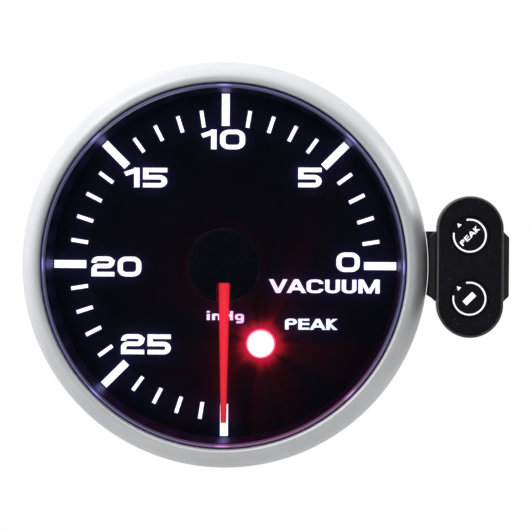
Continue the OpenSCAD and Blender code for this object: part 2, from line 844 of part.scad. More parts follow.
module backlight_leds() {
    color("lightyellow") face_on() around(led_count, led_ring_r, led_angle / 2) {
        block(led_l, led_w, board_z, led_t);
    }
}

module pointer_leds() {
    color("red") face_on() around(pointer_led_count, pointer_led_r, 45) {
        block(pointer_led_l, pointer_led_w, board_z, led_t);
    }
}

// Boards

module board(z) {
    difference() {
        translate([0, 0, z]) cylinder(r = board_r, h = board_t);
        around(3, standoff_ring_r, standoff_angle) {
            translate([0, 0, z - overrun])
                cylinder(r = board_screw_r + close_fit, h = board_t + 2 * overrun);
        }
        header_place() for (i = [0 : header_pins - 1]) {
            translate([(i - (header_pins - 1) / 2) * header_pitch, 0, 0])
                block(header_pin_w + 2 * pin_gap, header_pin_w + 2 * pin_gap, z - overrun,
                    board_t + 2 * overrun);
        }
    }
}

module display_board() {
    color("darkgreen") face_on() difference() {
        board(board_back_z);
        translate([0, 0, board_back_z - overrun])
            cylinder(r = shaft_r + fit, h = board_t + 2 * overrun);
    }
}

module main_board() {
    color("darkgreen") face_on() board(main_back_z);
}

module board_standoffs() {
    len = board_back_z - main_z;
    color("goldenrod") face_on() around(3, standoff_ring_r, standoff_angle) difference() {
        translate([0, 0, main_z]) cylinder(r = standoff_r, h = len, $fn = 6);
        translate([0, 0, main_z - overrun])
            cylinder(r = board_screw_r + close_fit, h = len + 2 * overrun);
    }
}

module board_screws() {
    color("gainsboro") face_on() around(3, standoff_ring_r, standoff_angle) {
        translate([0, 0, board_z])
            screw(board_screw_r, board_screw_len, board_screw_head_r, board_screw_head_t, false);
        translate([0, 0, main_back_z])
            screw(board_screw_r, board_screw_len, board_screw_head_r, board_screw_head_t, true);
    }
}

module header_place() {
    translate([header_share.x * board_r, header_share.y * board_r, 0]) rotate(-45) children();
}

// Pin header that joins the two boards
module board_header() {
    bar_l = header_pins * header_pitch;
    color("black") face_on() header_place() {
        block(bar_l, header_bar_w, main_z, header_bar_t);
        block(bar_l, header_bar_w, board_back_z - header_bar_t, header_bar_t);
        for (i = [0 : header_pins - 1]) {
            translate([(i - (header_pins - 1) / 2) * header_pitch, 0, 0])
                block(header_pin_w, header_pin_w, main_back_z, board_z - main_back_z);
        }
    }
}

module microcontroller() {
    color("black") face_on() translate(chip_share * board_r)
        rounded_slab(chip_w, chip_w, chip_corner, main_z, chip_t);
}

module voltage_regulator() {
    color("black") face_on() translate(regulator_share * board_r)
        block(regulator_w, regulator_l, main_z, regulator_t);
}

module capacitors() {
    color("slategray") face_on() for (share = capacitor_share) {
        translate([share.x * board_r, share.y * board_r, main_back_z - capacitor_h])
            cylinder(r = capacitor_r, h = capacitor_h);
    }
}

// Sockets

function socket_outer_l(pins) = pins * pin_cell_w + socket_end + 2 * socket_wall;
function socket_outer_w() = socket_in_w + 2 * socket_wall;

// Pin places along a socket
module each_pin(pins) {
    for (i = [0 : pins - 1]) {
        translate([(i - (pins - 1) / 2) * pin_cell_w, 0, 0]) children();
    }
}

// Shell of a socket: a body on the rear board with a keyed cavity open to the back
module socket(xy, pins) {
    inner_l = socket_outer_l(pins) - 2 * socket_wall;
    color("ivory") face_on() translate(xy) difference() {
        block(socket_outer_l(pins), socket_outer_w(), socket_z, main_back_z - socket_z);
        block(inner_l, socket_in_w, socket_z - overrun, socket_depth + overrun);
        translate([0, socket_in_w / 2, 0])
            block(socket_key_w, 2 * (socket_wall + overrun), socket_z - overrun,
                socket_depth / 2 + overrun);
        each_pin(pins) block(pin_w + 2 * pin_gap, pin_w + 2 * pin_gap, socket_floor_z - overrun,
            main_back_z - socket_floor_z + 2 * overrun);
    }
}

module pin_row(xy, pins) {
    color("gold") face_on() translate(xy) each_pin(pins)
        block(pin_w, pin_w, socket_floor_z - pin_tip, main_back_z - socket_floor_z + pin_tip);
}

module power_socket() {
    socket(power_xy, power_pins);
}

module power_pins() {
    pin_row(power_xy, power_pins);
}

module sensor_socket() {
    socket(sensor_xy, sensor_pins);
}

module sensor_pins() {
    pin_row(sensor_xy, sensor_pins);
}

module switch_socket() {
    socket(switch_xy, switch_pins);
}

module switch_pins() {
    pin_row(switch_xy, switch_pins);
}

// Remote switch

// Rectangle with its four corners cut off, from z up by h
module chamfered_plate(w, l, chamfer, z, h) {
    translate([0, 0, z]) linear_extrude(h) polygon([
        for (s = [[1, 1], [-1, 1], [-1, -1], [1, -1]], first = [0, 1])
            let (cut_x = (s.x * s.y > 0) == (first == 0) ? 0 : chamfer)
            [s.x * (w / 2 - cut_x), s.y * (l / 2 - chamfer + cut_x)]
    ]);
}

// Foam pad that sticks the cradle to the panel
module switch_pad() {
    color("dimgray") at_switch() chamfered_plate(cradle_w - 2 * pad_inset,
        cradle_len - 2 * pad_inset, cradle_chamfer, 0, pad_t);
}

// Cradle: a plate on the pad that reaches to the bezel's curve, and a cheek on each side
module switch_cradle() {
    half_w = cradle_w / 2;
    half_l = cradle_len / 2;
    inner_x = half_w + cradle_reach;
    color("black") {
        face_on() difference() {
            translate([switch_x, switch_y, cradle_z]) linear_extrude(cradle_t) polygon([
                [half_w, half_l - cradle_chamfer], [half_w - cradle_chamfer, half_l],
                [-inner_x, half_l], [-inner_x, foot_cut.y - half_l],
                [foot_cut.x - inner_x, -half_l], [half_w - cradle_chamfer, -half_l],
                [half_w, cradle_chamfer - half_l]
            ]);
            cylinder(r = bezel_r + switch_gap, h = cradle_z + cradle_t + overrun);
        }
        at_switch() difference() {
            chamfered_plate(cradle_w, cradle_len, cradle_chamfer, cradle_z + cradle_t / 2,
                cradle_t / 2 + cheek_h);
            block(switch_w + 2 * fit, cradle_len + 2 * overrun, base_z, cheek_h + overrun);
        }
    }
}

module each_key() {
    for (sy = [-1, 1]) {
        translate([0, sy * key_pitch / 2, 0]) children();
    }
}

module switch_base() {
    rib_y = key_pitch / 2 + tact_w / 2;
    color("black") at_switch() difference() {
        union() {
            difference() {
                stadium(switch_w, switch_len, base_z, base_h);
                stadium(switch_w - 2 * base_wall, switch_len - 2 * base_wall,
                    base_z + base_wall, base_h);
            }
            for (y = [-rib_y, 0, rib_y]) {
                translate([0, y, 0]) block(switch_w - 2 * base_wall - tact_w / 2, pcb_rib_w,
                    base_z + base_wall, pcb_rib);
            }
            for (sx = [-1, 1]) {
                translate([sx * switch_screw_x, 0, base_z])
                    cylinder(r = switch_screw_head_r + pcb_rib, h = pcb_z - base_z);
            }
        }
        for (sx = [-1, 1]) {
            translate([sx * switch_screw_x, 0, base_z - overrun]) {
                cylinder(r = switch_screw_r + close_fit, h = base_h);
                cylinder(r = switch_screw_head_r + close_fit, h = switch_screw_head_t + overrun);
            }
        }
        translate([0, grommet_y, base_z - overrun])
            cylinder(r = grommet_neck_r + close_fit, h = base_wall + 2 * overrun);
    }
}

// Front shell, rounded at its front edge, with a recess for the face and a hole for each key
module switch_cover() {
    color("black") at_switch() difference() {
        union() {
            difference() {
                rounded_stadium(switch_w, switch_len, seam_z, top_z - seam_z, edge_round,
                    edge_steps);
                stadium(switch_w - 2 * base_wall, switch_len - 2 * base_wall,
                    seam_z - overrun, key_under_z - seam_z + overrun);
            }
            for (sx = [-1, 1]) {
                translate([sx * switch_screw_x, 0, tact_z])
                    cylinder(r = switch_boss_r, h = key_under_z - tact_z + overrun);
            }
        }
        stadium(switch_w - 2 * face_inset + 2 * close_fit,
            switch_len - 2 * face_inset + 2 * close_fit, top_z - face_t, face_t + overrun);
        each_key() translate([0, 0, key_under_z - overrun])
            cylinder(r = key_d / 2 + key_gap, h = cover_top_t + 2 * overrun);
        for (sx = [-1, 1]) {
            translate([sx * switch_screw_x, 0, tact_z - overrun])
                cylinder(r = switch_screw_r + close_fit, h = key_under_z - tact_z + overrun);
        }
    }
}

// Printed face laid in the cover's recess
module switch_face() {
    color([0.08, 0.08, 0.1]) at_switch() difference() {
        stadium(switch_w - 2 * face_inset, switch_len - 2 * face_inset, top_z - face_t, face_t);
        each_key() translate([0, 0, top_z - face_t - overrun])
            cylinder(r = key_d / 2 + key_gap, h = face_t + 2 * overrun);
    }
}

// Key: a cap flush with the face, a flange that the cover holds in, and a stem on the plunger
module key() {
    flange_top_z = key_under_z - close_fit;
    translate([0, 0, flange_top_z - key_flange_t])
        cylinder(r = key_d / 2, h = top_z - flange_top_z + key_flange_t);
    translate([0, 0, flange_top_z - key_flange_t])
        cylinder(r = key_d / 2 + key_flange, h = key_flange_t);
    translate([0, 0, key_stem_z])
        cylinder(r = key_stem_r, h = flange_top_z - key_flange_t - key_stem_z);
}

module plunger() {
    translate([0, 0, tact_z + tact_h - plunger_sink])
        cylinder(r = plunger_r, h = key_stem_z - tact_z - tact_h + plunger_sink);
}

module peak_key() {
    color("black") at_switch() translate([0, key_pitch / 2, 0]) key();
}

module set_key() {
    color("black") at_switch() translate([0, -key_pitch / 2, 0]) key();
}

module peak_plunger() {
    color("gray") at_switch() translate([0, key_pitch / 2, 0]) plunger();
}

module set_plunger() {
    color("gray") at_switch() translate([0, -key_pitch / 2, 0]) plunger();
}

// Bodies of the two push switches under the keys
module key_switches() {
    well = plunger_sink + key_travel + close_fit;
    color("silver") at_switch() each_key() difference() {
        block(tact_w, tact_w, tact_z, tact_h);
        translate([0, 0, tact_z + tact_h - well])
            cylinder(r = plunger_r + run_fit, h = well + overrun);
    }
}

module switch_board() {
    color("darkgreen") at_switch() difference() {
        stadium(switch_w - 2 * (base_wall + fit), switch_len - 2 * (base_wall + fit), pcb_z, pcb_t);
        for (sx = [-1, 1]) {
            translate([sx * switch_screw_x, 0, pcb_z - overrun])
                cylinder(r = switch_screw_r + close_fit, h = pcb_t + 2 * overrun);
        }
    }
}

// Small lights beside each push switch
module key_lamps() {
    room = switch_w / 2 - base_wall - tact_w / 2;
    color("lightyellow") at_switch() each_key() for (sx = [-1, 1]) {
        translate([sx * (tact_w / 2 + key_lamp_place_share * room), 0, 0])
            block(key_lamp_share * room, key_lamp_w, tact_z, key_lamp_t);
    }
}

module switch_screws() {
    head_z = base_z + switch_screw_head_t;
    color("gainsboro") at_switch() for (sx = [-1, 1]) {
        translate([sx * switch_screw_x, 0, head_z])
            screw(switch_screw_r, key_under_z - head_z - overrun, switch_screw_head_r,
                switch_screw_head_t - close_fit, true);
    }
}

// Rubber grommet in the base's floor, where the switch's lead goes in
module cable_grommet() {
    color("black") at_switch() translate([0, grommet_y, 0]) {
        ring(grommet_neck_r, grommet_bore_r, base_z - grommet_flange_t, base_wall + grommet_flange_t);
        ring(grommet_r, grommet_bore_r, base_z - grommet_flange_t, grommet_flange_t);
    }
}

bezel_ring();
lens();
lens_gasket();
case();
rear_cover();
cover_screws();
dial_ring();
dial_plate();
scale_marks();
peak_lamp();
pointer();
hub_cap();
pointer_shaft();
output_wheel();
idler_gear();
rotor_magnet();
rotor_pinion();
motor_arbors();
motor_case();
motor_cover();
stator();
motor_coils();
coil_bobbins();
light_guide();
reflector_frame();
display_board();
backlight_leds();
pointer_leds();
main_board();
board_standoffs();
board_screws();
board_header();
microcontroller();
voltage_regulator();
capacitors();
power_socket();
power_pins();
sensor_socket();
sensor_pins();
switch_socket();
switch_pins();
mounting_studs();
switch_pad();
switch_cradle();
switch_base();
switch_cover();
switch_face();
peak_key();
set_key();
peak_plunger();
set_plunger();
key_switches();
switch_board();
key_lamps();
switch_screws();
cable_grommet();
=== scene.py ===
import math

import bpy
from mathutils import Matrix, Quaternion, Vector
from mathutils.kdtree import KDTree


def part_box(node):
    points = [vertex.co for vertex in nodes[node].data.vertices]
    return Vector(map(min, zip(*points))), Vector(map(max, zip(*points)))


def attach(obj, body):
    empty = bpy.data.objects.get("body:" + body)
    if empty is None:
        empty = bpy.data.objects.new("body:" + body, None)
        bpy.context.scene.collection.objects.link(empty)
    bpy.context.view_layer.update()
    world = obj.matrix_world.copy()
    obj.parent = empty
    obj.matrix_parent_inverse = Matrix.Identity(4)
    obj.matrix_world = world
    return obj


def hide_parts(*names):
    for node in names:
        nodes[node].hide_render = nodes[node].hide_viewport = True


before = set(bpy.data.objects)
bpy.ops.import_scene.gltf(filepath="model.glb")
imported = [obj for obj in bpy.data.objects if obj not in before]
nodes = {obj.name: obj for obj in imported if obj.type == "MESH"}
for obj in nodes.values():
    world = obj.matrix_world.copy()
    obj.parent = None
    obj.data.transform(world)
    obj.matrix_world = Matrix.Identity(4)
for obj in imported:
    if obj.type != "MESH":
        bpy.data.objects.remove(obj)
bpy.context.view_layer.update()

# Camera
# The gauge is seen nearly square on, from about half a metre. The camera stands a little to
# the right and above, and its middle falls beside the axis to take in the remote switch.
MM = 0.001
picture_w = 86.2 * MM
camera_gap = 450 * MM
camera_off = Vector((17 * MM, 0, 9.4 * MM))
camera_roll = math.radians(0.35)
sensor_w = 36
bezel_low, bezel_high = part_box("bezel_ring")
picture_middle = Vector((6.9 * MM, bezel_low.y + 0.5 * MM, 0.2 * MM))

camera_data = bpy.data.cameras.new("camera")
camera_data.sensor_width = sensor_w
camera_data.lens = sensor_w * camera_gap / picture_w
camera_data.clip_start = 10 * MM
camera = bpy.data.objects.new("camera", camera_data)
camera.location = picture_middle + camera_off - Vector((0, camera_gap, 0))
looking = (picture_middle - camera.location).to_track_quat("-Z", "Y")
camera.rotation_euler = (looking @ Quaternion((0, 0, 1), camera_roll)).to_euler()
bpy.context.scene.collection.objects.link(camera)
bpy.context.scene.camera = camera
bpy.context.scene.view_settings.view_transform = "Standard"

# Bezel ring
# A turned aluminium ring, bead blasted and clear anodised. It laps over the lens with a thin
# lip, and its rounded shoulder hides the edge of the panel's hole.
merge_gap = 0.001 * MM


def none_picked():
    """Leave edit mode with nothing selected."""
    if bpy.context.object and bpy.context.object.mode != "OBJECT":
        bpy.ops.object.mode_set(mode="OBJECT")
    bpy.ops.object.select_all(action="DESELECT")


def picked(piece, mode="EDIT"):
    """Make a piece the only one selected, and enter the mode."""
    none_picked()
    bpy.context.view_layer.objects.active = piece
    piece.select_set(True)
    bpy.ops.object.mode_set(mode=mode)


def whole():
    """Select the whole mesh that is edited."""
    bpy.ops.mesh.select_all(action="SELECT")


def point(name):
    """Start a piece as one vertex at the origin, left in edit mode."""
    none_picked()
    bpy.ops.mesh.primitive_plane_add(size=MM)
    piece = bpy.context.object
    piece.name = piece.data.name = name
    bpy.ops.object.mode_set(mode="EDIT")
    whole()
    bpy.ops.mesh.merge(type="CENTER")
    return piece


def pull(x, y, z):
    """Extrude the selected vertices by a step."""
    bpy.ops.mesh.extrude_vertices_move(TRANSFORM_OT_translate={"value": (x, y, z)})


def along(points):
    """Move the selected vertex to the first place, and pull it through the others."""
    here = Vector(points[0])
    bpy.ops.transform.translate(value=here)
    for there in points[1:]:
        pull(*(Vector(there) - here))
        here = Vector(there)


def spun(steps, angle=math.tau, x=0.0, z=0.0):
    """Spin the whole mesh about a line that faces the viewer."""
    whole()
    bpy.ops.mesh.spin(steps=steps, angle=angle, center=(x, 0, z), axis=(0, 1, 0))


def closed():
    """Merge what meets, turn all faces outwards and leave edit mode."""
    whole()
    bpy.ops.mesh.remove_doubles(threshold=merge_gap)
    bpy.ops.mesh.normals_make_consistent(inside=False)
    bpy.ops.object.mode_set(mode="OBJECT")


def turned(name, outline, steps, x=0.0, z=0.0):
    """Turn an outline of radius and height above the panel about a line at x and z."""
    piece = point(name)
    along([(x + radius, -height, z) for radius, height in outline])
    spun(steps, x=x, z=z)
    closed()
    return piece


def smoothed(piece, angle=30):
    """Shade a piece smooth, apart from edges sharper than the angle."""
    picked(piece, "OBJECT")
    bpy.ops.object.shade_smooth_by_angle(angle=math.radians(angle))
    return piece


def dressed(piece, finish, body="gauge", instead_of=None):
    """Give a new piece its finish, its body and the CAD node that it stands for."""
    piece.data.materials.clear()
    piece.data.materials.append(finish)
    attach(piece, body)
    if instead_of:
        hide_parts(instead_of)
    return piece


def finish_nodes(name):
    """A new material, its node tree, its shader, and the place of each point in the piece."""
    finish = bpy.data.materials.new(name)
    finish.use_nodes = True
    tree = finish.node_tree
    place = tree.nodes.new("ShaderNodeTexCoord").outputs["Object"]
    return finish, tree, tree.nodes["Principled BSDF"], place


def into(socket, value):
    """Link an input to another node's output, or set it to a value."""
    if isinstance(value, bpy.types.NodeSocket):
        socket.id_data.links.new(value, socket)
    else:
        socket.default_value = value


def feed(node, **inputs):
    """Fill a node's inputs by name, with _ for a space."""
    for key, value in inputs.items():
        into(node.inputs[key.replace("_", " ")], value)
    return node


def add(tree, kind, **inputs):
    """Add a node with its inputs."""
    return feed(tree.nodes.new("ShaderNode" + kind), **inputs)


def noise(tree, place, size, detail, roughness=0.5):
    """Cloudy noise with patches of a size in metres."""
    return add(tree, "TexNoise", Vector=place, Scale=1 / size, Detail=detail,
               Roughness=roughness).outputs["Fac"]


def ramp(tree, source, stops):
    """Turn a number into a colour, through stops of place and colour."""
    made = add(tree, "ValToRGB", Fac=source)
    elements = made.color_ramp.elements
    while len(elements) < len(stops):
        elements.new(0.5)
    for element, (place, colour) in zip(elements, stops):
        element.position = place
        element.color = (*colour, 1)
    return made.outputs["Color"]


def two_tone(tree, source, dark, light):
    """From dark to light over the middle of a noise, where nearly all of its values are."""
    return ramp(tree, source, [(0.3, dark), (0.7, light)])


def grey(value):
    return (value, value, value)


def bumped(tree, shader, height, depth, strength=1.0):
    """Raise the surface by a height from 0 to 1 times the depth."""
    bump = add(tree, "Bump", Strength=strength, Distance=depth, Height=height)
    feed(shader, Normal=bump.outputs["Normal"])


def grained(name, dark, light, patch, rough, grain, depth, metal=0.0, stretch=(1, 1, 1),
            gloss=0.5):
    """Two tones in soft patches, roughness that wanders, and a fine grain, sizes in metres."""
    finish, tree, shader, place = finish_nodes(name)
    pulled = add(tree, "Mapping", Vector=place, Scale=stretch).outputs["Vector"]
    patches = noise(tree, pulled, patch, 4.0, 0.6)
    fine = noise(tree, pulled, grain, 3.0, 0.65)
    low, high = rough
    feed(shader, Base_Color=two_tone(tree, patches, dark, light),
         Roughness=two_tone(tree, fine, grey(low), grey(high)), Metallic=metal,
         Specular_IOR_Level=gloss)
    bumped(tree, shader, fine, depth)
    return finish


lens_low, lens_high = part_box("lens")
bezel_r = bezel_high.x
bezel_h = -bezel_low.y
lens_flange_r = lens_high.x
lens_top = -lens_low.y
lens_back = -lens_high.y
lip_w = 0.8 * MM
lip_gap = 0.05 * MM
lens_flange_t = 1.0 * MM
window_r = lens_flange_r - lip_w
skirt_r = lens_flange_r + 0.35 * MM
lip_back = lens_back + lens_flange_t + lip_gap
lip_low = lens_top - 0.05 * MM
crest_share = 0.14
crest_r = window_r + crest_share * (bezel_r - window_r)
edge_h = 1.1 * MM
crown_power = 2.1
crown_steps = 24
lip_steps = 10
ring_steps = 256

crown = []
for step in range(crown_steps + 1):
    reach = math.sin(math.pi / 2 * step / crown_steps)
    rise = (1 - reach ** crown_power) ** (1 / crown_power)
    crown.append((crest_r + (bezel_r - crest_r) * reach, edge_h + (bezel_h - edge_h) * rise))
lip = []
for step in range(lip_steps):
    turn = math.pi / 2 * step / lip_steps
    lip.append((window_r + (crest_r - window_r) * (1 - math.cos(turn)),
                lip_low + (bezel_h - lip_low) * math.sin(turn)))
bezel_outline = [(skirt_r, 0), (skirt_r, lip_back), (window_r, lip_back)]
bezel_outline += lip + crown + [(bezel_r, 0), (skirt_r, 0)]
bezel = smoothed(turned("bezel", bezel_outline, ring_steps), 40)
satin = grained("satin_aluminium", (0.56, 0.565, 0.585), (0.62, 0.625, 0.645), 9 * MM,
                (0.44, 0.54), 0.12 * MM, 0.0035 * MM, metal=0.5)
dressed(bezel, satin, instead_of="bezel_ring")

# Lens
# Smoke-tinted glass with a thin flange that the bezel's lip holds down. Its front edge is
# ground and polished, and the dial's light, which runs in the glass and comes out there, is
# painted on it as a glow.
lens_bevel = 0.7 * MM
lens_gap = 0.22 * MM
lens_r = window_r - lens_gap
lens_outline = [
    (0, lens_back), (lens_flange_r, lens_back), (lens_flange_r, lens_back + lens_flange_t),
    (lens_r, lens_back + lens_flange_t), (lens_r, lens_top - lens_bevel / 2),
    (lens_r - lens_bevel, lens_top), (0, lens_top),
]
lens = smoothed(turned("smoked_lens", lens_outline, ring_steps), 20)
edge_black = (0.01, 0.01, 0.02)
violet_stops = [(0.0, (0.01, 0.01, 0.03)), (0.38, (0.04, 0.03, 0.13)), (0.56, (0.44, 0.38, 0.95)),
                (0.74, (0.10, 0.08, 0.34)), (1.0, edge_black)]
rose_stops = [(0.0, (0.03, 0.01, 0.04)), (0.34, (0.22, 0.03, 0.13)), (0.56, (0.90, 0.26, 0.72)),
              (0.76, (0.20, 0.07, 0.28)), (1.0, edge_black)]
rose_side = (0.35, 0, -0.94)
marks_round = 8


def smoked_glass():
    """Clear glass with a grey tint that varies a little."""
    finish, tree, shader, place = finish_nodes("smoked_glass")
    haze = add(tree, "TexNoise", Vector=place, Scale=90.0, Detail=2.0).outputs["Fac"]
    feed(shader, Base_Color=two_tone(tree, haze, (0.80, 0.80, 0.84), (0.84, 0.84, 0.88)),
         Roughness=0.0, IOR=1.45, Transmission_Weight=1.0)
    return finish


def worked(tree, kind, operation, *values):
    """The result of a Math or VectorMath node."""
    made = add(tree, kind)
    made.operation = operation
    for socket, value in zip(made.inputs, values):
        into(socket, value)
    number = kind == "Math" or operation in ("LENGTH", "DOT_PRODUCT")
    return made.outputs["Value" if number else "Vector"]


def radius_of(tree, place):
    """Distance from a line that faces the viewer, and the direction round it."""
    flat = worked(tree, "VectorMath", "MULTIPLY", place, (1, 0, 1))
    return (worked(tree, "VectorMath", "LENGTH", flat),
            worked(tree, "VectorMath", "NORMALIZE", flat))


def spread(tree, source, low, high, to_low=0.0, to_high=1.0):
    """Map low to high onto 0 to 1, or onto two other numbers."""
    return add(tree, "MapRange", Value=source, From_Min=low, From_Max=high, To_Min=to_low,
               To_Max=to_high).outputs["Result"]


def blended(tree, share, a, b, way="MIX"):
    """Blend a share of one colour into another."""
    made = add(tree, "Mix")
    made.data_type = "RGBA"
    made.blend_type = way
    return feed(made, Factor=share, A=a, B=b).outputs["Result"]


def times(tree, a, b):
    """One colour times another."""
    return blended(tree, 1.0, a, b, "MULTIPLY")


def painted_edge_glow():
    """Painted glow in the edge: violet, rose at the lower right, brighter beside the wide marks.
    """
    finish, tree, shader, place = finish_nodes("lens_edge_painted_glow")
    radius, way = radius_of(tree, place)
    across = spread(tree, radius, lens_r - lens_bevel, lens_r)
    side = worked(tree, "VectorMath", "DOT_PRODUCT", way, rose_side)
    light = blended(tree, spread(tree, side, 0.7, 1.0), ramp(tree, across, violet_stops),
                    ramp(tree, across, rose_stops))
    flat = add(tree, "SeparateXYZ", Vector=way)
    turn = worked(tree, "Math", "ARCTAN2", flat.outputs["Z"], flat.outputs["X"])
    wave = worked(tree, "Math", "COSINE", worked(tree, "Math", "MULTIPLY", turn, marks_round))
    beside_marks = ramp(tree, wave, [(0.0, grey(0.8)), (0.93, grey(0.85)), (0.98, grey(2.0)),
                                     (1.0, grey(2.6))])
    feed(shader, Emission_Color=times(tree, light, beside_marks), Emission_Strength=0.5,
         Base_Color=(0.03, 0.03, 0.05, 1), Roughness=0.12)
    return finish


dressed(lens, smoked_glass(), instead_of="lens")
lens.data.materials.append(painted_edge_glow())
for face in lens.data.polygons:
    middle = math.hypot(face.center.x, face.center.z)
    if middle > lens_r - lens_bevel and -face.center.y > lens_top - lens_bevel / 2:
        face.material_index = 1

# Lens gasket
# A flat ring of black rubber between the lens and the case's rim, seen only as the dark line
# at the edge of the glass. It is stamped from sheet and laid in loose.
rubber = grained("black_rubber", grey(0.012), grey(0.02), 2 * MM, (0.75, 0.9), 0.08 * MM,
                 0.01 * MM, gloss=0.3)


def carried_over(finish, *names):
    """Give CAD nodes that keep their shape their finish."""
    for name in names:
        mesh = nodes[name].data
        mesh.materials.clear()
        mesh.materials.append(finish)


carried_over(rubber, "lens_gasket")

# Scale marks
# Windows in the dial's black print, lit white from behind by the light guide. The numbered
# marks are wide and reach the edge, and the ones between are short and thin.
lit_white = [(0.90, 0.92, 1.0), (0.90, 0.92, 1.0)]
white_strength = 1.5
dial_low, dial_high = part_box("dial_plate")
dial_top = -dial_low.y
dial_r = dial_high.x
major_len, major_w = 5.3 * MM, 1.3 * MM
minor_len, minor_w = 2.8 * MM, 0.62 * MM
marks_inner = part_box("scale_marks")[1].x - major_len
readings = 30
major_step = 5
turn_per_reading = math.radians(270 / readings)
light_pitch = 0.3 * MM
lit_points = []


def lit(name, tones, strength, low, high):
    """Print lit from behind, with its tones from left to right between two x."""
    finish, tree, shader, place = finish_nodes(name)
    split = add(tree, "SeparateXYZ", Vector=place)
    stops = [(number / (len(tones) - 1), tone) for number, tone in enumerate(tones)]
    tone = ramp(tree, spread(tree, split.outputs["X"], low, high), stops)
    specks = noise(tree, place, 0.25 * MM, 2.0)
    glow = times(tree, tone, ramp(tree, specks, [(0.3, grey(0.86)), (0.6, grey(1.0))]))
    feed(shader, Emission_Color=glow, Base_Color=glow, Emission_Strength=strength,
         Roughness=0.5)
    return finish


carried_over(lit("lit_scale", lit_white, white_strength, -dial_r, dial_r), "scale_marks")
for reading in range(readings + 1):
    length, width = (minor_len, minor_w) if reading % major_step else (major_len, major_w)
    turn = reading * turn_per_reading
    for step in range(math.ceil(length / light_pitch)):
        far = marks_inner + (step + 0.5) * light_pitch
        lit_points.append((far * math.cos(turn), far * math.sin(turn), width * light_pitch))

# Numbers and words
# Wide, square-shouldered figures in the same lit print: the readings, the quantity, its unit
# and the name of the lamp. A word's strokes have one width, and most of their turns are round.
print_depth = 0.14 * MM
print_proud = 0.02 * MM
same_place = 0.001
cut_gap = 0.00001
front_facing = -0.9
turn_facets = 5
slant_rows = "XY"
letters = {
    "0": (1.03, 0.26, ["lb lt rt rb lb"]),
    "1": (0.60, 0.0, ["rB rT", "rt Lu"]),
    "2": (1.00, 0.2, ["lu lt rt rm lm lb! Rb"]),
    "5": (1.00, 0.2, ["Rt lt! lm! rm rb Lb"]),
    "V": (0.70, 0.0, ["LY cB RY"]),
    "A": (0.74, 0.0, ["LX cT RX", "jd kd"]),
    "C": (0.74, 0.2, ["ru rt lt lb rb rd"]),
    "U": (0.65, 0.2, ["lT lb rb rT"]),
    "M": (0.94, 0.0, ["lB lT", "rB rT", "lY cB rY"]),
    "P": (0.62, 0.16, ["lB lt rt rm lm"]),
    "E": (0.58, 0.0, ["Rt lt lb Rb", "lm Rm"]),
    "K": (0.66, 0.0, ["lB lT", "lm rY", "jm rX"]),
    "i": (0.24, 0.0, ["lB lu", "lw lT"]),
    "n": (0.64, 0.14, ["lB lu", "le re rB"]),
    "H": (0.72, 0.0, ["lB lT", "rB rT", "lm rm"]),
    "g": (0.64, 0.14, ["rb lb le re rg lg"]),
}


def modified(piece, kind, **settings):
    """Put a modifier on a piece and apply it."""
    picked(piece, "OBJECT")
    made = piece.modifiers.new(kind.lower(), kind)
    for key, value in settings.items():
        setattr(made, key, value)
    bpy.ops.object.modifier_apply(modifier=made.name)


def stroke_points(turns, width, thick):
    """Places of a stroke's turns: a column and a row for each, in letter heights."""
    half = thick / 2
    columns = {"L": 0, "l": half, "j": 0.24 * width, "c": width / 2, "k": 0.76 * width,
               "r": width - half, "R": width}
    rows = {"X": -0.12, "B": 0, "b": half, "d": 0.3, "m": 0.52, "e": 0.6, "u": 0.68, "w": 0.82,
            "t": 1 - half, "T": 1, "Y": 1.12, "g": -0.22}
    return [(columns[turn[0]], rows[turn[1]]) for turn in turns]


def joined(parts, name):
    """Join pieces into one."""
    none_picked()
    for part in parts:
        part.select_set(True)
    whole_piece = bpy.context.view_layer.objects.active = parts[0]
    if len(parts) > 1:
        bpy.ops.object.join()
    whole_piece.name = whole_piece.data.name = name
    return whole_piece


def letter(sign, thick):
    """One letter, one unit high, as closed strokes joined in one piece. ! keeps a turn sharp."""
    width, turn_r, strokes = letters[sign]
    parts = []
    for text in strokes:
        turns = text.split()
        points = stroke_points(turns, width, thick)
        part = point("stroke")
        along([(x, -print_proud, z) for x, z in points])
        whole()
        bpy.ops.mesh.remove_doubles(threshold=same_place)
        if turn_r and len(points) > 2:
            bpy.ops.mesh.select_all(action="DESELECT")
            bpy.ops.object.mode_set(mode="OBJECT")
            sharp = [at for at, turn in zip(points, turns) if turn.endswith("!")]
            if points[0] != points[-1]:
                sharp += [points[0], points[-1]]
            for vertex in part.data.vertices:
                gaps = [math.hypot(vertex.co.x - x, vertex.co.z - z) for x, z in sharp]
                vertex.select = min(gaps, default=1) > same_place
            bpy.ops.object.mode_set(mode="EDIT")
            bpy.ops.mesh.bevel(offset=turn_r, segments=turn_facets, affect="VERTICES",
                               clamp_overlap=True)
        whole()
        bpy.ops.mesh.extrude_edges_move(TRANSFORM_OT_translate={"value": (0, print_depth, 0)})
        whole()
        bpy.ops.mesh.normals_make_consistent(inside=False)
        modified(part, "SOLIDIFY", thickness=thick, offset=0, use_even_offset=True)
        bpy.ops.object.mode_set(mode="EDIT")
        if any(turn[1] in slant_rows for turn in turns):
            for row, outside in ((0, -1), (1, 1)):
                whole()
                bpy.ops.mesh.bisect(plane_co=(0, 0, row), plane_no=(0, 0, outside),
                                    use_fill=True, clear_outer=True, threshold=cut_gap)
        whole()
        bpy.ops.mesh.normals_make_consistent(inside=False)
        bpy.ops.object.mode_set(mode="OBJECT")
        parts.append(part)
    return joined(parts, "letter"), width


def shifted(piece, move, size=(1, 1, 1)):
    """Scale a mesh about the origin, then move it."""
    picked(piece)
    whole()
    if size != (1, 1, 1):
        bpy.ops.transform.resize(value=size, center_override=(0, 0, 0))
    bpy.ops.transform.translate(value=move)
    bpy.ops.object.mode_set(mode="OBJECT")
    return piece


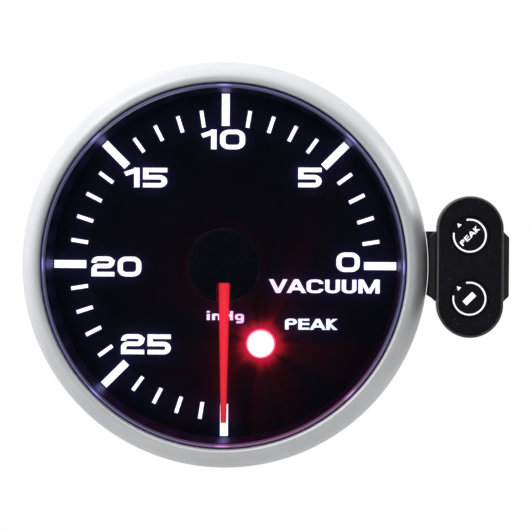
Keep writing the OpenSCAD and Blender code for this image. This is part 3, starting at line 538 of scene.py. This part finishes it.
def written(name, text, left, right, base, height, thick=0.225, gap=0.14):
    """A word between two x on a base line, in millimetres, stretched to fill the width."""
    signs = [letter(sign, thick) for sign in text]
    natural = sum(width for _, width in signs) + gap * (len(text) - 1)
    wide = (right - left) * MM / natural
    start = left * MM
    for sign, width in signs:
        shifted(sign, (start, 0, base * MM), (wide, 1, height * MM))
        start += (width + gap) * wide
    return joined([sign for sign, _ in signs], name)


def printed(word, finish, weight):
    """Set a word in the dial, and note its front faces as lights, weighed by their area."""
    dressed(shifted(word, (0, -dial_top, 0)), finish)
    for face in word.data.polygons:
        if face.normal.y < front_facing:
            corners = [word.data.vertices[number].co for number in face.vertices]
            a, b = max(((a, b) for a in corners for b in corners),
                       key=lambda pair: (pair[0] - pair[1]).length)
            steps = max(1, math.ceil((a - b).length / light_pitch))
            for step in range(steps):
                at = a.lerp(b, (step + 0.5) / steps)
                lit_points.append((at.x, at.z, weight * face.area / steps))


figures = [
    ("10", -3.92, 3.23, 19.14, 3.24), ("15", -16.63, -9.63, 12.77, 3.24),
    ("5", 12.05, 15.91, 12.94, 3.24), ("0", 18.44, 22.28, -1.0, 3.21),
    ("20", -22.14, -13.85, -2.01, 3.3), ("25", -17.16, -8.89, -14.87, 3.3),
]
words = [
    ("quantity", ("VACUUM", 7.53, 25.61, -4.53, 2.25, 0.19, 0.08),
     [(1.0, 0.70, 0.97), (0.92, 0.82, 1.0), (0.85, 0.86, 1.0)], 1.4, 7.5, 25.7),
    ("peak_word", ("PEAK", 10.01, 18.91, -10.59, 1.81, 0.19, 0.07),
     [(0.86, 0.88, 1.0), (0.78, 0.90, 1.0)], 1.3, 10, 19),
    ("unit", ("inHg", -2.96, 3.21, -9.12, 1.5, 0.22, 0.13),
     [(0.95, 0.74, 0.95), (1.0, 0.55, 0.88)], 1.25, -3, 3.3),
]
numbers = joined([written("figures", *figure) for figure in figures], "dial_numbers")
printed(numbers, lit("lit_numbers", lit_white, white_strength, -dial_r, dial_r), 1.0)
for name, text, tones, strength, low, high in words:
    printed(written("dial_" + name, *text),
            lit("lit_" + name, tones, strength, low * MM, high * MM), 0.9)

# Dial plate
# A black sheet with a fine matt print, lit through its marks only. What light spills over
# the print, from the marks, the lamp and the pointer, is painted on it as a glow, kept as a colour
# on its points.
shaft_hole_r = 2.4 * MM
lamp_low, lamp_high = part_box("peak_lamp")
lamp_at = (lamp_low + lamp_high) / 2
lamp_flange = 0.45 * MM
lamp_r = (lamp_high.x - lamp_low.x) / 2 - lamp_flange
lamp_hole_gap = 0.1 * MM
lamp_hole_steps = 96
rings = 104
spokes = 480

plate = point("dial_plate_printed")
along([(shaft_hole_r, -dial_top, 0), (dial_r, -dial_top, 0)])
whole()
bpy.ops.mesh.subdivide(number_cuts=rings)
spun(spokes)
whole()
bpy.ops.mesh.remove_doubles(threshold=merge_gap)
whole()
bpy.ops.mesh.extrude_region_move(
    TRANSFORM_OT_translate={"value": (0, dial_top + dial_high.y, 0)})
closed()
none_picked()
bpy.ops.mesh.primitive_cylinder_add(vertices=lamp_hole_steps, radius=lamp_r + lamp_hole_gap,
                                    depth=4 * dial_top, location=(lamp_at.x, -dial_top, lamp_at.z),
                                    rotation=(math.pi / 2, 0, 0))
drill = bpy.context.object
modified(plate, "BOOLEAN", operation="DIFFERENCE", object=drill)
bpy.data.objects.remove(drill)

spill_tree = KDTree(len(lit_points))
for number, (x, z, _) in enumerate(lit_points):
    spill_tree.insert((x, 0, z), number)
spill_tree.balance()
spill_reach = 3.2 * MM
near_w, near_light, near_most = 0.33 * MM, 0.075, 2.5
haze_w, haze_light = 0.8 * MM, 0.0125
lamp_rim_w, lamp_rim_light = 0.22 * MM, 0.12
lamp_halo_w, lamp_halo_light = 1.22 * MM, 0.66
lamp_haze_w, lamp_haze_light = 3.2 * MM, 0.05
# Painted glow: a star of red rays round the lamp, painted on the dial's print.
lamp_rays = [(5, 0.15, 0.6), (9, 0.10, 2.1), (16, 0.09, 0.4), (27, 0.06, 1.3)]
needle_tip_r = -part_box("pointer")[0].z
needle_half_w, needle_glow_w, needle_light = 0.7 * MM, 0.9 * MM, 0.028
cap_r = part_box("hub_cap")[1].x
needle_root_r = cap_r * 0.45
cap_glow_r, cap_glow_w, cap_light = cap_r * 1.06, 0.7 * MM, 0.0035
middle_glow_w, middle_light = 11 * MM, 0.0012


def bell(gap, width):
    return math.exp(-(gap / width) ** 2)


def fading(gap, width):
    return math.exp(-gap / width)


def spilled(x, z):
    """Light on the print at a place: blue round the marks, red round the lamp and pointer."""
    near = wide = 0.0
    for _, number, gap in spill_tree.find_range((x, 0, z), spill_reach):
        weight = lit_points[number][2] / MM ** 2
        near += weight * bell(gap, near_w)
        wide += weight * fading(gap, haze_w)
    blue = near_light * min(near, near_most) + haze_light * wide
    turn = math.atan2(z - lamp_at.z, x - lamp_at.x)
    rays = 1 + sum(share * math.cos(count * turn + start) for count, share, start in lamp_rays)
    from_lamp = max(0.0, math.hypot(x - lamp_at.x, z - lamp_at.z) - lamp_r)
    pink = lamp_rim_light * fading(from_lamp, lamp_rim_w)
    red = lamp_halo_light * bell(from_lamp, lamp_halo_w * rays)
    red += lamp_haze_light * fading(from_lamp, lamp_haze_w * rays ** 2)
    if -needle_tip_r < z < -needle_root_r:
        red += needle_light * min(1.0, fading(abs(x) - needle_half_w, needle_glow_w))
    radius = math.hypot(x, z)
    red += cap_light * bell(radius - cap_glow_r, cap_glow_w)
    red += middle_light * bell(radius, middle_glow_w)
    return (red + 0.42 * blue, 0.30 * blue + 0.018 * red, pink + 1.55 * blue + 0.045 * red, 1.0)


def light_kept(piece, colour_at):
    """Keep a colour for each point of the piece in its spill attribute."""
    kept = piece.data.color_attributes.new("spill", "FLOAT_COLOR", "POINT")
    for vertex, colour in zip(piece.data.vertices, kept.data):
        colour.color = colour_at(vertex.co.x, vertex.co.z)


def print_with_painted_glow(name, base, rough):
    """Black print or gloss that shows the kept light as a painted glow of its own."""
    finish, tree, shader, place = finish_nodes(name)
    fibre = noise(tree, place, 0.2 * MM, 3.0)
    cloud = noise(tree, place, 8 * MM, 2.0)
    kept = add(tree, "Attribute")
    kept.attribute_name = "spill"
    lighter = tuple(1.6 * value for value in base)
    feed(shader, Base_Color=two_tone(tree, cloud, base, lighter),
         Roughness=two_tone(tree, fibre, grey(rough), grey(rough + 0.12)),
         Emission_Color=kept.outputs["Color"], Emission_Strength=1.0, Specular_IOR_Level=0.06)
    bumped(tree, shader, fibre, 0.0002 * MM)
    return finish


light_kept(plate, spilled)
dressed(plate, print_with_painted_glow("dial_print_painted_glow", (0.0012, 0.0011, 0.0024), 0.6),
        instead_of="dial_plate")
smoothed(plate)

# Dial ring
# The sloped wall between the dial and the glass, moulded in black with a gloss face. A blue
# streak up it beside each numbered mark, and the pointer's red light on its lower half, are
# painted on it as a glow.
ring_low, ring_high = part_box("dial_ring")
ring_r = ring_high.x
ring_top = -ring_low.y
ring_foot = 1.2 * MM
ring_head = 0.6 * MM
wall_rows = 10
wall_steps = 720
ring_light = 0.003
streak_w, streak_light, streak_rise = 0.65 * MM, 0.06, 0.07
streak_haze_w, streak_haze_light = 1.5 * MM, 0.020
minor_streak_w, minor_streak_light = 0.8 * MM, 0.008
red_turn, red_light, red_rise = math.radians(20), 0.005, 0.008

wall = point("sloped_dial_ring")
along([(ring_r - ring_foot, -dial_top, 0), (ring_r - ring_head, -ring_top, 0)])
whole()
bpy.ops.mesh.subdivide(number_cuts=wall_rows)
bpy.ops.mesh.select_all(action="DESELECT")
bpy.ops.object.mode_set(mode="OBJECT")
for vertex in wall.data.vertices:
    vertex.select = vertex.co.y < -ring_top + merge_gap
bpy.ops.object.mode_set(mode="EDIT")
pull(ring_head, 0, 0)
pull(0, ring_top - dial_top, 0)
pull(-ring_foot, 0, 0)
spun(wall_steps)
closed()


def off_mark(turn, reading, radius):
    """Distance round the ring from a reading's mark."""
    off = turn - reading * turn_per_reading
    return abs((off + math.pi) % math.tau - math.pi) * radius


def streaked(x, z):
    """Light on the sloped ring: streaks beside the numbered marks, and a red lower half."""
    radius = math.hypot(x, z)
    up = min(1.0, max(0.0, (radius - (ring_r - ring_foot)) / (ring_foot - ring_head)))
    turn = math.atan2(z, x) % math.tau
    blue = ring_light
    for reading in range(0, readings + 1, major_step):
        off = off_mark(turn, reading, radius)
        blue += (streak_light + streak_rise * up) * bell(off, streak_w)
        blue += streak_haze_light * bell(off, streak_haze_w)
    for reading in range(readings):
        blue += minor_streak_light * bell(off_mark(turn, reading, radius), minor_streak_w)
    low = max(0.0, -math.sin(turn - red_turn))
    red = (red_light + red_rise * up) * low
    return (red + 0.28 * blue, 0.21 * blue, 1.35 * blue + 0.3 * red, 1.0)


light_kept(wall, streaked)
dressed(wall, print_with_painted_glow("ring_gloss_painted_glow", (0.003, 0.0026, 0.005), 0.42),
        instead_of="dial_ring")
smoothed(wall)

# Peak lamp
# A clear red lamp that stands through the dial in a domed body and shines when the reading
# passes the stored peak. Lit, its middle is nearly white, and the dome's foot stays red.
lamp_glow_stops = [(0.0, (1.0, 0.95, 0.94)), (0.80, (1.0, 0.80, 0.80)), (0.92, (1.0, 0.42, 0.45)),
                   (1.0, (0.9, 0.03, 0.08))]
lamp_body_stops = [(0.0, (0.9, 0.2, 0.2)), (1.0, (0.6, 0.01, 0.02))]
round_above = 35
flat_below = 0.5


def lamp_glow():
    """Red plastic, lit from within and brightest in its middle."""
    finish, tree, shader, place = finish_nodes("lit_red_lamp")
    radius, _ = radius_of(tree, worked(tree, "VectorMath", "SUBTRACT", place, lamp_at))
    out = spread(tree, radius, 0, lamp_r)
    feed(shader, Emission_Color=ramp(tree, out, lamp_glow_stops), Emission_Strength=2.2,
         Base_Color=ramp(tree, out, lamp_body_stops), Roughness=0.12)
    return finish


def rounded(piece, width, segments=2):
    """Round the piece's sharp edges and shade it smooth."""
    modified(piece, "BEVEL", width=width, segments=segments, limit_method="ANGLE",
             angle_limit=math.radians(round_above), use_clamp_overlap=True)
    return smoothed(piece)


def refined(name, width, finish, body="gauge", segments=2):
    """Put a merged copy of a CAD node in its place, its edges rounded unless the width is 0."""
    piece = bpy.data.objects.new(name + "_finished", nodes[name].data.copy())
    bpy.context.scene.collection.objects.link(piece)
    picked(piece)
    whole()
    bpy.ops.mesh.remove_doubles(threshold=merge_gap)
    bpy.ops.mesh.dissolve_limited(angle_limit=math.radians(flat_below))
    if width:
        rounded(piece, width, segments)
    else:
        smoothed(piece, round_above)
    modified(piece, "WEIGHTED_NORMAL", keep_sharp=True)
    dressed(piece, finish, body, name)


refined("peak_lamp", 0, lamp_glow())

# Pointer
# A tapered blade of clear red acrylic, foil printed beneath and lit from its hub, so that it
# glows evenly with darker edges. Its socket is pressed on the movement's shaft.
pointer_w = 1.95 * MM
pointer_tip_w = 0.88 * MM
blade_stops = [(0.0, (1.0, 0.030, 0.050)), (0.6, (0.95, 0.022, 0.042)),
               (0.95, (0.62, 0.010, 0.025))]
fade_stops = [(0.1, grey(1.0)), (0.55, grey(0.86)), (1.0, grey(0.74))]


def pointer_glow():
    """Red light, darker at the blade's edges and fading towards its tip."""
    finish, tree, shader, place = finish_nodes("lit_pointer")
    split = add(tree, "SeparateXYZ", Vector=place)
    side = worked(tree, "Math", "ABSOLUTE", split.outputs["X"])
    down = spread(tree, split.outputs["Z"], 0, -needle_tip_r)
    half = spread(tree, down, 0, 1, pointer_w / 2, pointer_tip_w / 2)
    across = worked(tree, "Math", "DIVIDE", side, half)
    glow = times(tree, ramp(tree, across, blade_stops), ramp(tree, down, fade_stops))
    feed(shader, Emission_Color=glow, Base_Color=glow, Emission_Strength=1.0, Roughness=0.25)
    return finish


refined("pointer", 0.08 * MM, pointer_glow(), "needle")

# Hub cap
# A round cap of gloss black plastic that hides the pointer's hub. It is pressed on the shaft
# and turns with the pointer, which shows through a slot in its skirt.
gloss_black = grained("gloss_black_cap", (0.0016, 0.0016, 0.002), (0.003, 0.003, 0.0035), 3 * MM,
                      (0.24, 0.34), 0.3 * MM, 0.0008 * MM, gloss=0.12)
refined("hub_cap", 0.08 * MM, gloss_black, "needle")

# Case and rear cover
# The barrel is moulded in black glass-filled nylon, with a rim that holds the glass. The
# cover fits its bore with a spigot, and four screws pull it on.
nylon = grained("black_nylon", (0.012, 0.012, 0.013), (0.020, 0.020, 0.022), 4 * MM,
                (0.42, 0.58), 0.16 * MM, 0.006 * MM)
for name in ("case", "rear_cover"):
    refined(name, 0.15 * MM, nylon)

# Cover screws
# Small pan-head machine screws, zinc plated, driven into bosses in the case.
zinc = grained("zinc_plate", (0.50, 0.51, 0.53), (0.62, 0.63, 0.66), 1.5 * MM, (0.22, 0.36),
               0.07 * MM, 0.0015 * MM, metal=1.0)
refined("cover_screws", 0.05 * MM, zinc)

# Mounting studs
# Two M4 studs with a head inside the cover and a shoulder pressed through it. The thread is
# rolled, and ends at the cover and at the chamfered end.
stud_low, stud_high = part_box("mounting_studs")
cover_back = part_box("rear_cover")[1].y
stud_head_r = 3.4 * MM
stud_head_t = 1.4 * MM
stud_shoulder_r = 2.6 * MM
stud_r = 2.0 * MM
stud_tip = 0.5 * MM
stud_steps = 48
thread_pitch = 0.7 * MM
thread_root = stud_r - 0.42 * MM
thread_steps = 28
thread_foot = thread_root - 0.05 * MM
thread_edge = stud_r - 0.06 * MM
thread_outline = [(thread_foot, 0), (thread_edge, 0.28), (stud_r, 0.36), (stud_r, 0.44),
                  (thread_edge, 0.52), (thread_foot, 0.8)]
shank = [
    (0, -stud_low.y), (stud_head_r, -stud_low.y), (stud_head_r, -stud_low.y - stud_head_t),
    (stud_shoulder_r, -stud_low.y - stud_head_t), (stud_shoulder_r, -cover_back),
    (thread_root, -cover_back), (thread_root, -stud_high.y + stud_tip),
    (thread_root - stud_tip / 2, -stud_high.y), (0, -stud_high.y),
]
stud_parts = []
for side in (-1, 1):
    x = side * (stud_high.x - stud_head_r)
    z = (stud_low.z + stud_high.z) / 2
    stud_parts.append(rounded(turned("stud", shank, stud_steps, x, z), 0.08 * MM))
    thread = point("thread")
    along([(radius, cover_back + share * thread_pitch, 0) for radius, share in thread_outline])
    whole()
    bpy.ops.mesh.edge_face_add()
    modified(thread, "SCREW", axis="Y", steps=thread_steps, render_steps=thread_steps,
             screw_offset=thread_pitch, use_merge_vertices=True, merge_threshold=merge_gap,
             iterations=int((stud_high.y - cover_back - stud_tip) / thread_pitch))
    picked(thread)
    whole()
    bpy.ops.mesh.fill_holes(sides=len(thread_outline))
    closed()
    stud_parts.append(smoothed(shifted(thread, (x, 0, z)), 45))
dressed(joined(stud_parts, "threaded_studs"), zinc, instead_of="mounting_studs")

# Sockets and pins
# Three nylon sockets for the supply, the sensor and the remote switch, each soldered to the
# rear board and standing through the cover, with square gold-flashed pins.
natural_nylon = grained("natural_nylon", (0.62, 0.59, 0.50), (0.74, 0.71, 0.62), 3 * MM,
                        (0.38, 0.52), 0.2 * MM, 0.004 * MM)
gold_flash = grained("gold_flash", (0.72, 0.52, 0.20), (0.83, 0.64, 0.30), 0.8 * MM,
                     (0.18, 0.30), 0.05 * MM, 0.0008 * MM, metal=1.0)
for name in ("power_socket", "sensor_socket", "switch_socket"):
    refined(name, 0.1 * MM, natural_nylon)
for name in ("power_pins", "sensor_pins", "switch_pins"):
    refined(name, 0.06 * MM, gold_flash)

# Light guide and reflector
# A clear acrylic disc carries the light of the diodes to the marks, and a white moulded frame
# round them throws it forward.
def clear_acrylic():
    """Clear plastic with faint flow marks."""
    finish, tree, shader, place = finish_nodes("clear_acrylic")
    flow = noise(tree, place, 5 * MM, 2.0)
    feed(shader, Base_Color=two_tone(tree, flow, (0.86, 0.92, 0.96), (0.92, 0.96, 0.98)),
         Roughness=0.08, Transmission_Weight=1.0)
    return finish


carried_over(clear_acrylic(), "light_guide")
white_nylon = grained("white_reflector", (0.76, 0.76, 0.75), (0.84, 0.84, 0.83), 4 * MM,
                      (0.50, 0.62), 0.2 * MM, 0.004 * MM)
carried_over(white_nylon, "reflector_frame")

# Boards
# Glass-epoxy boards under green solder mask, with copper tracks beneath it that show as
# paler, slightly raised lines. Screws and brass spacers hold the two of the gauge.
def solder_mask():
    """Green mask over a net of paler tracks."""
    finish, tree, shader, place = finish_nodes("green_solder_mask")
    turned_up = add(tree, "Mapping", Vector=place, Rotation=(math.pi / 2, 0, 0))
    tracks = add(tree, "TexBrick", Vector=turned_up.outputs["Vector"], Scale=1 / (4 * MM),
                 Mortar_Size=0.035, Mortar_Smooth=0.1, Color1=(0.010, 0.085, 0.035, 1),
                 Color2=(0.012, 0.100, 0.040, 1), Mortar=(0.030, 0.230, 0.090, 1))
    weave = noise(tree, place, 0.5 * MM, 3.0)
    feed(shader, Base_Color=tracks.outputs["Color"],
         Roughness=two_tone(tree, weave, grey(0.25), grey(0.38)))
    bumped(tree, shader, tracks.outputs["Fac"], 0.03 * MM, 0.6)
    return finish


carried_over(solder_mask(), "display_board", "main_board", "switch_board")
turned_brass = grained("turned_brass", (0.58, 0.41, 0.14), (0.70, 0.52, 0.22), 1.2 * MM,
                       (0.22, 0.34), 0.05 * MM, 0.002 * MM, metal=1.0, stretch=(1, 6, 1))
carried_over(turned_brass, "board_standoffs")
carried_over(zinc, "board_screws")

# Parts on the boards
# Diodes in clear resin behind the dial, the pointer and the keys, black moulded chips with
# a satin top, plain aluminium capacitors, and the header that joins the boards.
clear_resin = grained("clear_resin", (0.70, 0.66, 0.42), (0.82, 0.79, 0.58), 0.8 * MM,
                      (0.12, 0.22), 0.1 * MM, 0.001 * MM)
carried_over(clear_resin, "backlight_leds", "pointer_leds", "key_lamps")
chip_black = grained("moulded_chip", (0.018, 0.018, 0.020), (0.030, 0.030, 0.033), 1.5 * MM,
                     (0.45, 0.62), 0.06 * MM, 0.004 * MM)
carried_over(chip_black, "board_header", "microcontroller", "voltage_regulator")
can_metal = grained("capacitor_can", (0.48, 0.50, 0.53), (0.58, 0.60, 0.63), 2 * MM,
                    (0.24, 0.36), 0.06 * MM, 0.001 * MM, metal=1.0, stretch=(1, 0.2, 1))
carried_over(can_metal, "capacitors")

# Stepper movement
# A small two-coil motor in a black moulded case behind the dial. Its ferrite rotor drives
# the pointer's wheel through acetal gears on steel arbors.
motor_black = grained("motor_case_black", (0.028, 0.028, 0.030), (0.042, 0.042, 0.045), 3 * MM,
                      (0.40, 0.55), 0.15 * MM, 0.004 * MM)
carried_over(motor_black, "motor_case", "motor_cover")
acetal = grained("white_acetal", (0.74, 0.71, 0.62), (0.84, 0.82, 0.74), 2 * MM, (0.28, 0.40),
                 0.12 * MM, 0.002 * MM)
carried_over(acetal, "output_wheel", "idler_gear", "rotor_pinion")
ferrite = grained("sintered_ferrite", (0.045, 0.045, 0.050), (0.080, 0.080, 0.086), 0.6 * MM,
                  (0.50, 0.68), 0.06 * MM, 0.006 * MM, metal=0.3)
carried_over(ferrite, "rotor_magnet")
ground_steel = grained("ground_steel", (0.52, 0.52, 0.54), (0.64, 0.64, 0.66), 1 * MM,
                       (0.14, 0.24), 0.05 * MM, 0.001 * MM, metal=1.0, stretch=(1, 8, 1))
carried_over(ground_steel, "pointer_shaft", "motor_arbors")
stator_steel = grained("stamped_stator", (0.36, 0.37, 0.39), (0.48, 0.49, 0.51), 2 * MM,
                       (0.34, 0.48), 0.1 * MM, 0.003 * MM, metal=1.0)
carried_over(stator_steel, "stator")


def wound_wire():
    """Enamelled copper wire, turn beside turn, with painted shade darker in the grooves between
    turns.
    """
    finish, tree, shader, place = finish_nodes("enamelled_wire")
    turns = add(tree, "TexWave", Vector=place, Scale=1 / (0.35 * MM), Distortion=0.4)
    turns.bands_direction = "Z"
    height = turns.outputs["Fac"]
    # Painted shade: the colour darkens where the bump is low, in the grooves between turns.
    feed(shader, Metallic=0.9, Roughness=0.28,
         Base_Color=ramp(tree, height, [(0.0, (0.30, 0.09, 0.02)), (1.0, (0.75, 0.32, 0.12))]))
    bumped(tree, shader, height, 0.05 * MM)
    return finish


carried_over(wound_wire(), "motor_coils")
carried_over(white_nylon, "coil_bobbins")

# Remote switch: pad, cradle and housing
# A two-button unit for the driver's reach. Its base and cover are moulded in grained black
# plastic and screwed together, and it clips between the cheeks of a cradle on a foam pad.
def foam():
    """Dark foam with open pores, with painted shade darker in the pores."""
    finish, tree, shader, place = finish_nodes("foam_tape")
    pores = add(tree, "TexVoronoi", Vector=place, Scale=1 / (0.25 * MM)).outputs["Distance"]
    # Painted shade: the colour darkens in the pores, where the bump is lowest.
    feed(shader, Base_Color=ramp(tree, pores, [(0.0, grey(0.012)), (0.6, grey(0.055))]),
         Roughness=0.9)
    bumped(tree, shader, pores, 0.06 * MM)
    return finish


carried_over(foam(), "switch_pad")
grained_black = grained("grained_black", (0.0085, 0.0088, 0.0095), (0.015, 0.0155, 0.0165),
                        2.5 * MM, (0.30, 0.42), 0.13 * MM, 0.006 * MM, gloss=0.75)
for name in ("switch_cradle", "switch_base", "switch_cover"):
    refined(name, 0.2 * MM, grained_black, segments=3)
carried_over(zinc, "switch_screws")
refined("cable_grommet", 0.08 * MM, rubber)
push_can = grained("push_switch_can", (0.50, 0.51, 0.52), (0.60, 0.61, 0.62), 1.2 * MM,
                   (0.26, 0.38), 0.06 * MM, 0.001 * MM, metal=1.0)
carried_over(push_can, "key_switches")
plunger_grey = grained("plunger_nylon", (0.09, 0.09, 0.10), (0.14, 0.14, 0.15), 0.8 * MM,
                       (0.35, 0.48), 0.08 * MM, 0.002 * MM)
carried_over(plunger_grey, "peak_plunger", "set_plunger")

# Remote switch: face and keys
# A film printed matt black is laid in the cover's front, with a hole for each round key. The
# keys carry the same print, and stand level with the film.
film_black = grained("printed_film", (0.0018, 0.0017, 0.0032), (0.0038, 0.0035, 0.0065),
                     1.6 * MM, (0.46, 0.60), 0.09 * MM, 0.004 * MM, gloss=0.13)
keys = (("peak_key", "peak_button"), ("set_key", "set_button"))
speck_pitch = 0.42 * MM
speck_share = 0.22
speck_tone = (0.16, 0.16, 0.22, 1)


def specked(finish):
    """Sow fine pale specks in a print: one in a few cells, each a fraction of its cell."""
    tree = finish.node_tree
    shader = tree.nodes["Principled BSDF"]
    place = add(tree, "TexCoord").outputs["Object"]
    cells = add(tree, "TexVoronoi", Vector=place, Scale=1 / speck_pitch)
    split = add(tree, "SeparateColor", Color=cells.outputs["Color"])
    chosen = spread(tree, split.outputs["Red"], 1 - speck_share, 1)
    near = ramp(tree, cells.outputs["Distance"], [(0.06, grey(1)), (0.2, grey(0))])
    dot = worked(tree, "Math", "MULTIPLY", chosen, near)
    plain = shader.inputs["Base Color"].links[0].from_socket
    feed(shader, Base_Color=blended(tree, dot, plain, speck_tone))


specked(film_black)
refined("switch_face", 0.08 * MM, film_black, segments=3)
for name, body in keys:
    refined(name, 0.06 * MM, film_black, body)

# Prints on the keys
# White rings round each key, open where a small triangle points out, with the key's sign
# inside: a word for the stored peak, and a bar for the warning level.
ring_mid_r = 2.6 * MM
ring_line = 0.27 * MM
ring_inner, ring_outer = ring_mid_r - ring_line / 2, ring_mid_r + ring_line / 2
ring_from = math.radians(170)
ring_sweep = math.radians(292)
ring_facets = 72
sign_turn = math.radians(45)
triangle_r = 2.42 * MM
triangle_size = 0.44 * MM
triangle_turn = math.radians(136)
bar_w, bar_h = 2.2 * MM, 0.95 * MM
print_t = 0.03 * MM
print_edge = 0.012 * MM
print_off = Vector((0.1 * MM, 0, 0))
white_print = lit("white_key_print", [(0.80, 0.80, 0.88), (0.86, 0.86, 0.94)], 0.55, 35 * MM,
                  45 * MM)


def rotated(turn, axis="Y"):
    """Turn what is selected about the origin."""
    bpy.ops.transform.rotate(value=turn, orient_axis=axis, center_override=(0, 0, 0))


def key_ring():
    """An open ring: a flat section spun round the key's middle."""
    ring = point("key_ring")
    along([(ring_inner, 0, 0), (ring_outer, 0, 0), (ring_outer, -print_t, 0),
           (ring_inner, -print_t, 0)])
    whole()
    bpy.ops.mesh.edge_face_add()
    rotated(ring_from)
    spun(ring_facets, ring_sweep)
    closed()
    return ring


def key_triangle():
    """A small triangle in the ring's opening, pointing out of it."""
    none_picked()
    bpy.ops.mesh.primitive_cylinder_add(vertices=3, radius=triangle_size, depth=print_t)
    triangle = bpy.context.object
    picked(triangle)
    rotated(math.pi / 2, "X")
    rotated(sign_turn + math.pi)
    bpy.ops.mesh.bevel(offset=print_edge, segments=2)
    return shifted(triangle, (triangle_r * math.cos(triangle_turn), -print_t / 2,
                              triangle_r * math.sin(triangle_turn)))


def key_sign(name):
    """The key's sign, a word or a bar, on the slant that the prints have."""
    if name == "peak_key":
        sign = written("sign", "PEAK", -2.0, 2.0, -0.44, 0.88, 0.2, 0.1)
        shifted(sign, (0, print_proud - print_t, 0), (1, print_t / print_depth, 1))
    else:
        none_picked()
        bpy.ops.mesh.primitive_cube_add(size=1)
        sign = bpy.context.object
        picked(sign)
        bpy.ops.transform.resize(value=(bar_w, print_t, bar_h))
        bpy.ops.mesh.bevel(offset=print_edge, segments=2)
    picked(sign)
    whole()
    rotated(sign_turn)
    return shifted(sign, (0, -print_t / 2, 0))


for name, body in keys:
    low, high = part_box(name)
    middle = (low + high) / 2 - print_off
    for kind, piece in (("_ring", key_ring()), ("_triangle", key_triangle()),
                        ("_sign", key_sign(name))):
        piece.name = piece.data.name = name + kind
        dressed(shifted(piece, (middle.x, low.y, middle.z)), white_print, body)

# Studio
# A round pale floor well under the gauge, and a room that is bright above and behind and dark
# in front, so that the glass stays black. Two soft lamps, at the upper left and at the right.
floor_z = -160 * MM
floor_r = 520 * MM
white = (1, 1, 1, 1)
bright_way = (-0.6, 0, 0.8)
wall_stops = [(0.0, grey(0.19)), (0.2, grey(0.27)), (0.5, grey(1.2)), (0.75, grey(1.5)),
              (1.0, grey(1.65))]
front_stops = [(0.015, (0.020, 0.023, 0.042)), (0.07, grey(0.50)), (0.5, grey(0.85)),
               (1.0, grey(1.0))]
none_picked()
bpy.ops.mesh.primitive_circle_add(vertices=128, radius=floor_r, fill_type="NGON",
                                  location=(0, 0, floor_z))
floor = bpy.context.object
floor.name = "floor"
paper = grained("floor_paper", grey(0.48), grey(0.52), 80 * MM, (0.8, 0.9), 2 * MM, 0.01 * MM)
floor.data.materials.append(paper)


def room():
    """White for the camera and behind the gauge, black straight in front, brightest above."""
    world = bpy.data.worlds.new("room")
    bpy.context.scene.world = world
    world.use_nodes = True
    tree = world.node_tree
    way = add(tree, "TexCoord").outputs["Generated"]
    back = add(tree, "SeparateXYZ", Vector=way).outputs["Y"]
    corner = worked(tree, "VectorMath", "DOT_PRODUCT", way, bright_way)
    shaded = times(tree, ramp(tree, spread(tree, corner, -1, 1), wall_stops),
                   ramp(tree, spread(tree, back, -1, 0), front_stops))
    light = blended(tree, spread(tree, back, 0.75, 0.95), shaded, white)
    seen = add(tree, "LightPath").outputs["Is Camera Ray"]
    feed(tree.nodes["Background"], Color=blended(tree, seen, light, white))


def soft_lamp(name, place, size, power):
    """A square soft lamp that faces the gauge."""
    data = bpy.data.lights.new(name, "AREA")
    data.size = size
    data.energy = power
    lamp = bpy.data.objects.new(name, data)
    lamp.location = place
    lamp.rotation_euler = (-Vector(place)).to_track_quat("-Z", "Y").to_euler()
    lamp.visible_camera = False
    bpy.context.scene.collection.objects.link(lamp)


room()
soft_lamp("upper_left", (-0.45, -0.45, 0.65), 0.45, 1.7)
soft_lamp("right", (0.62, 0.24, 0.26), 0.25, 0.8)
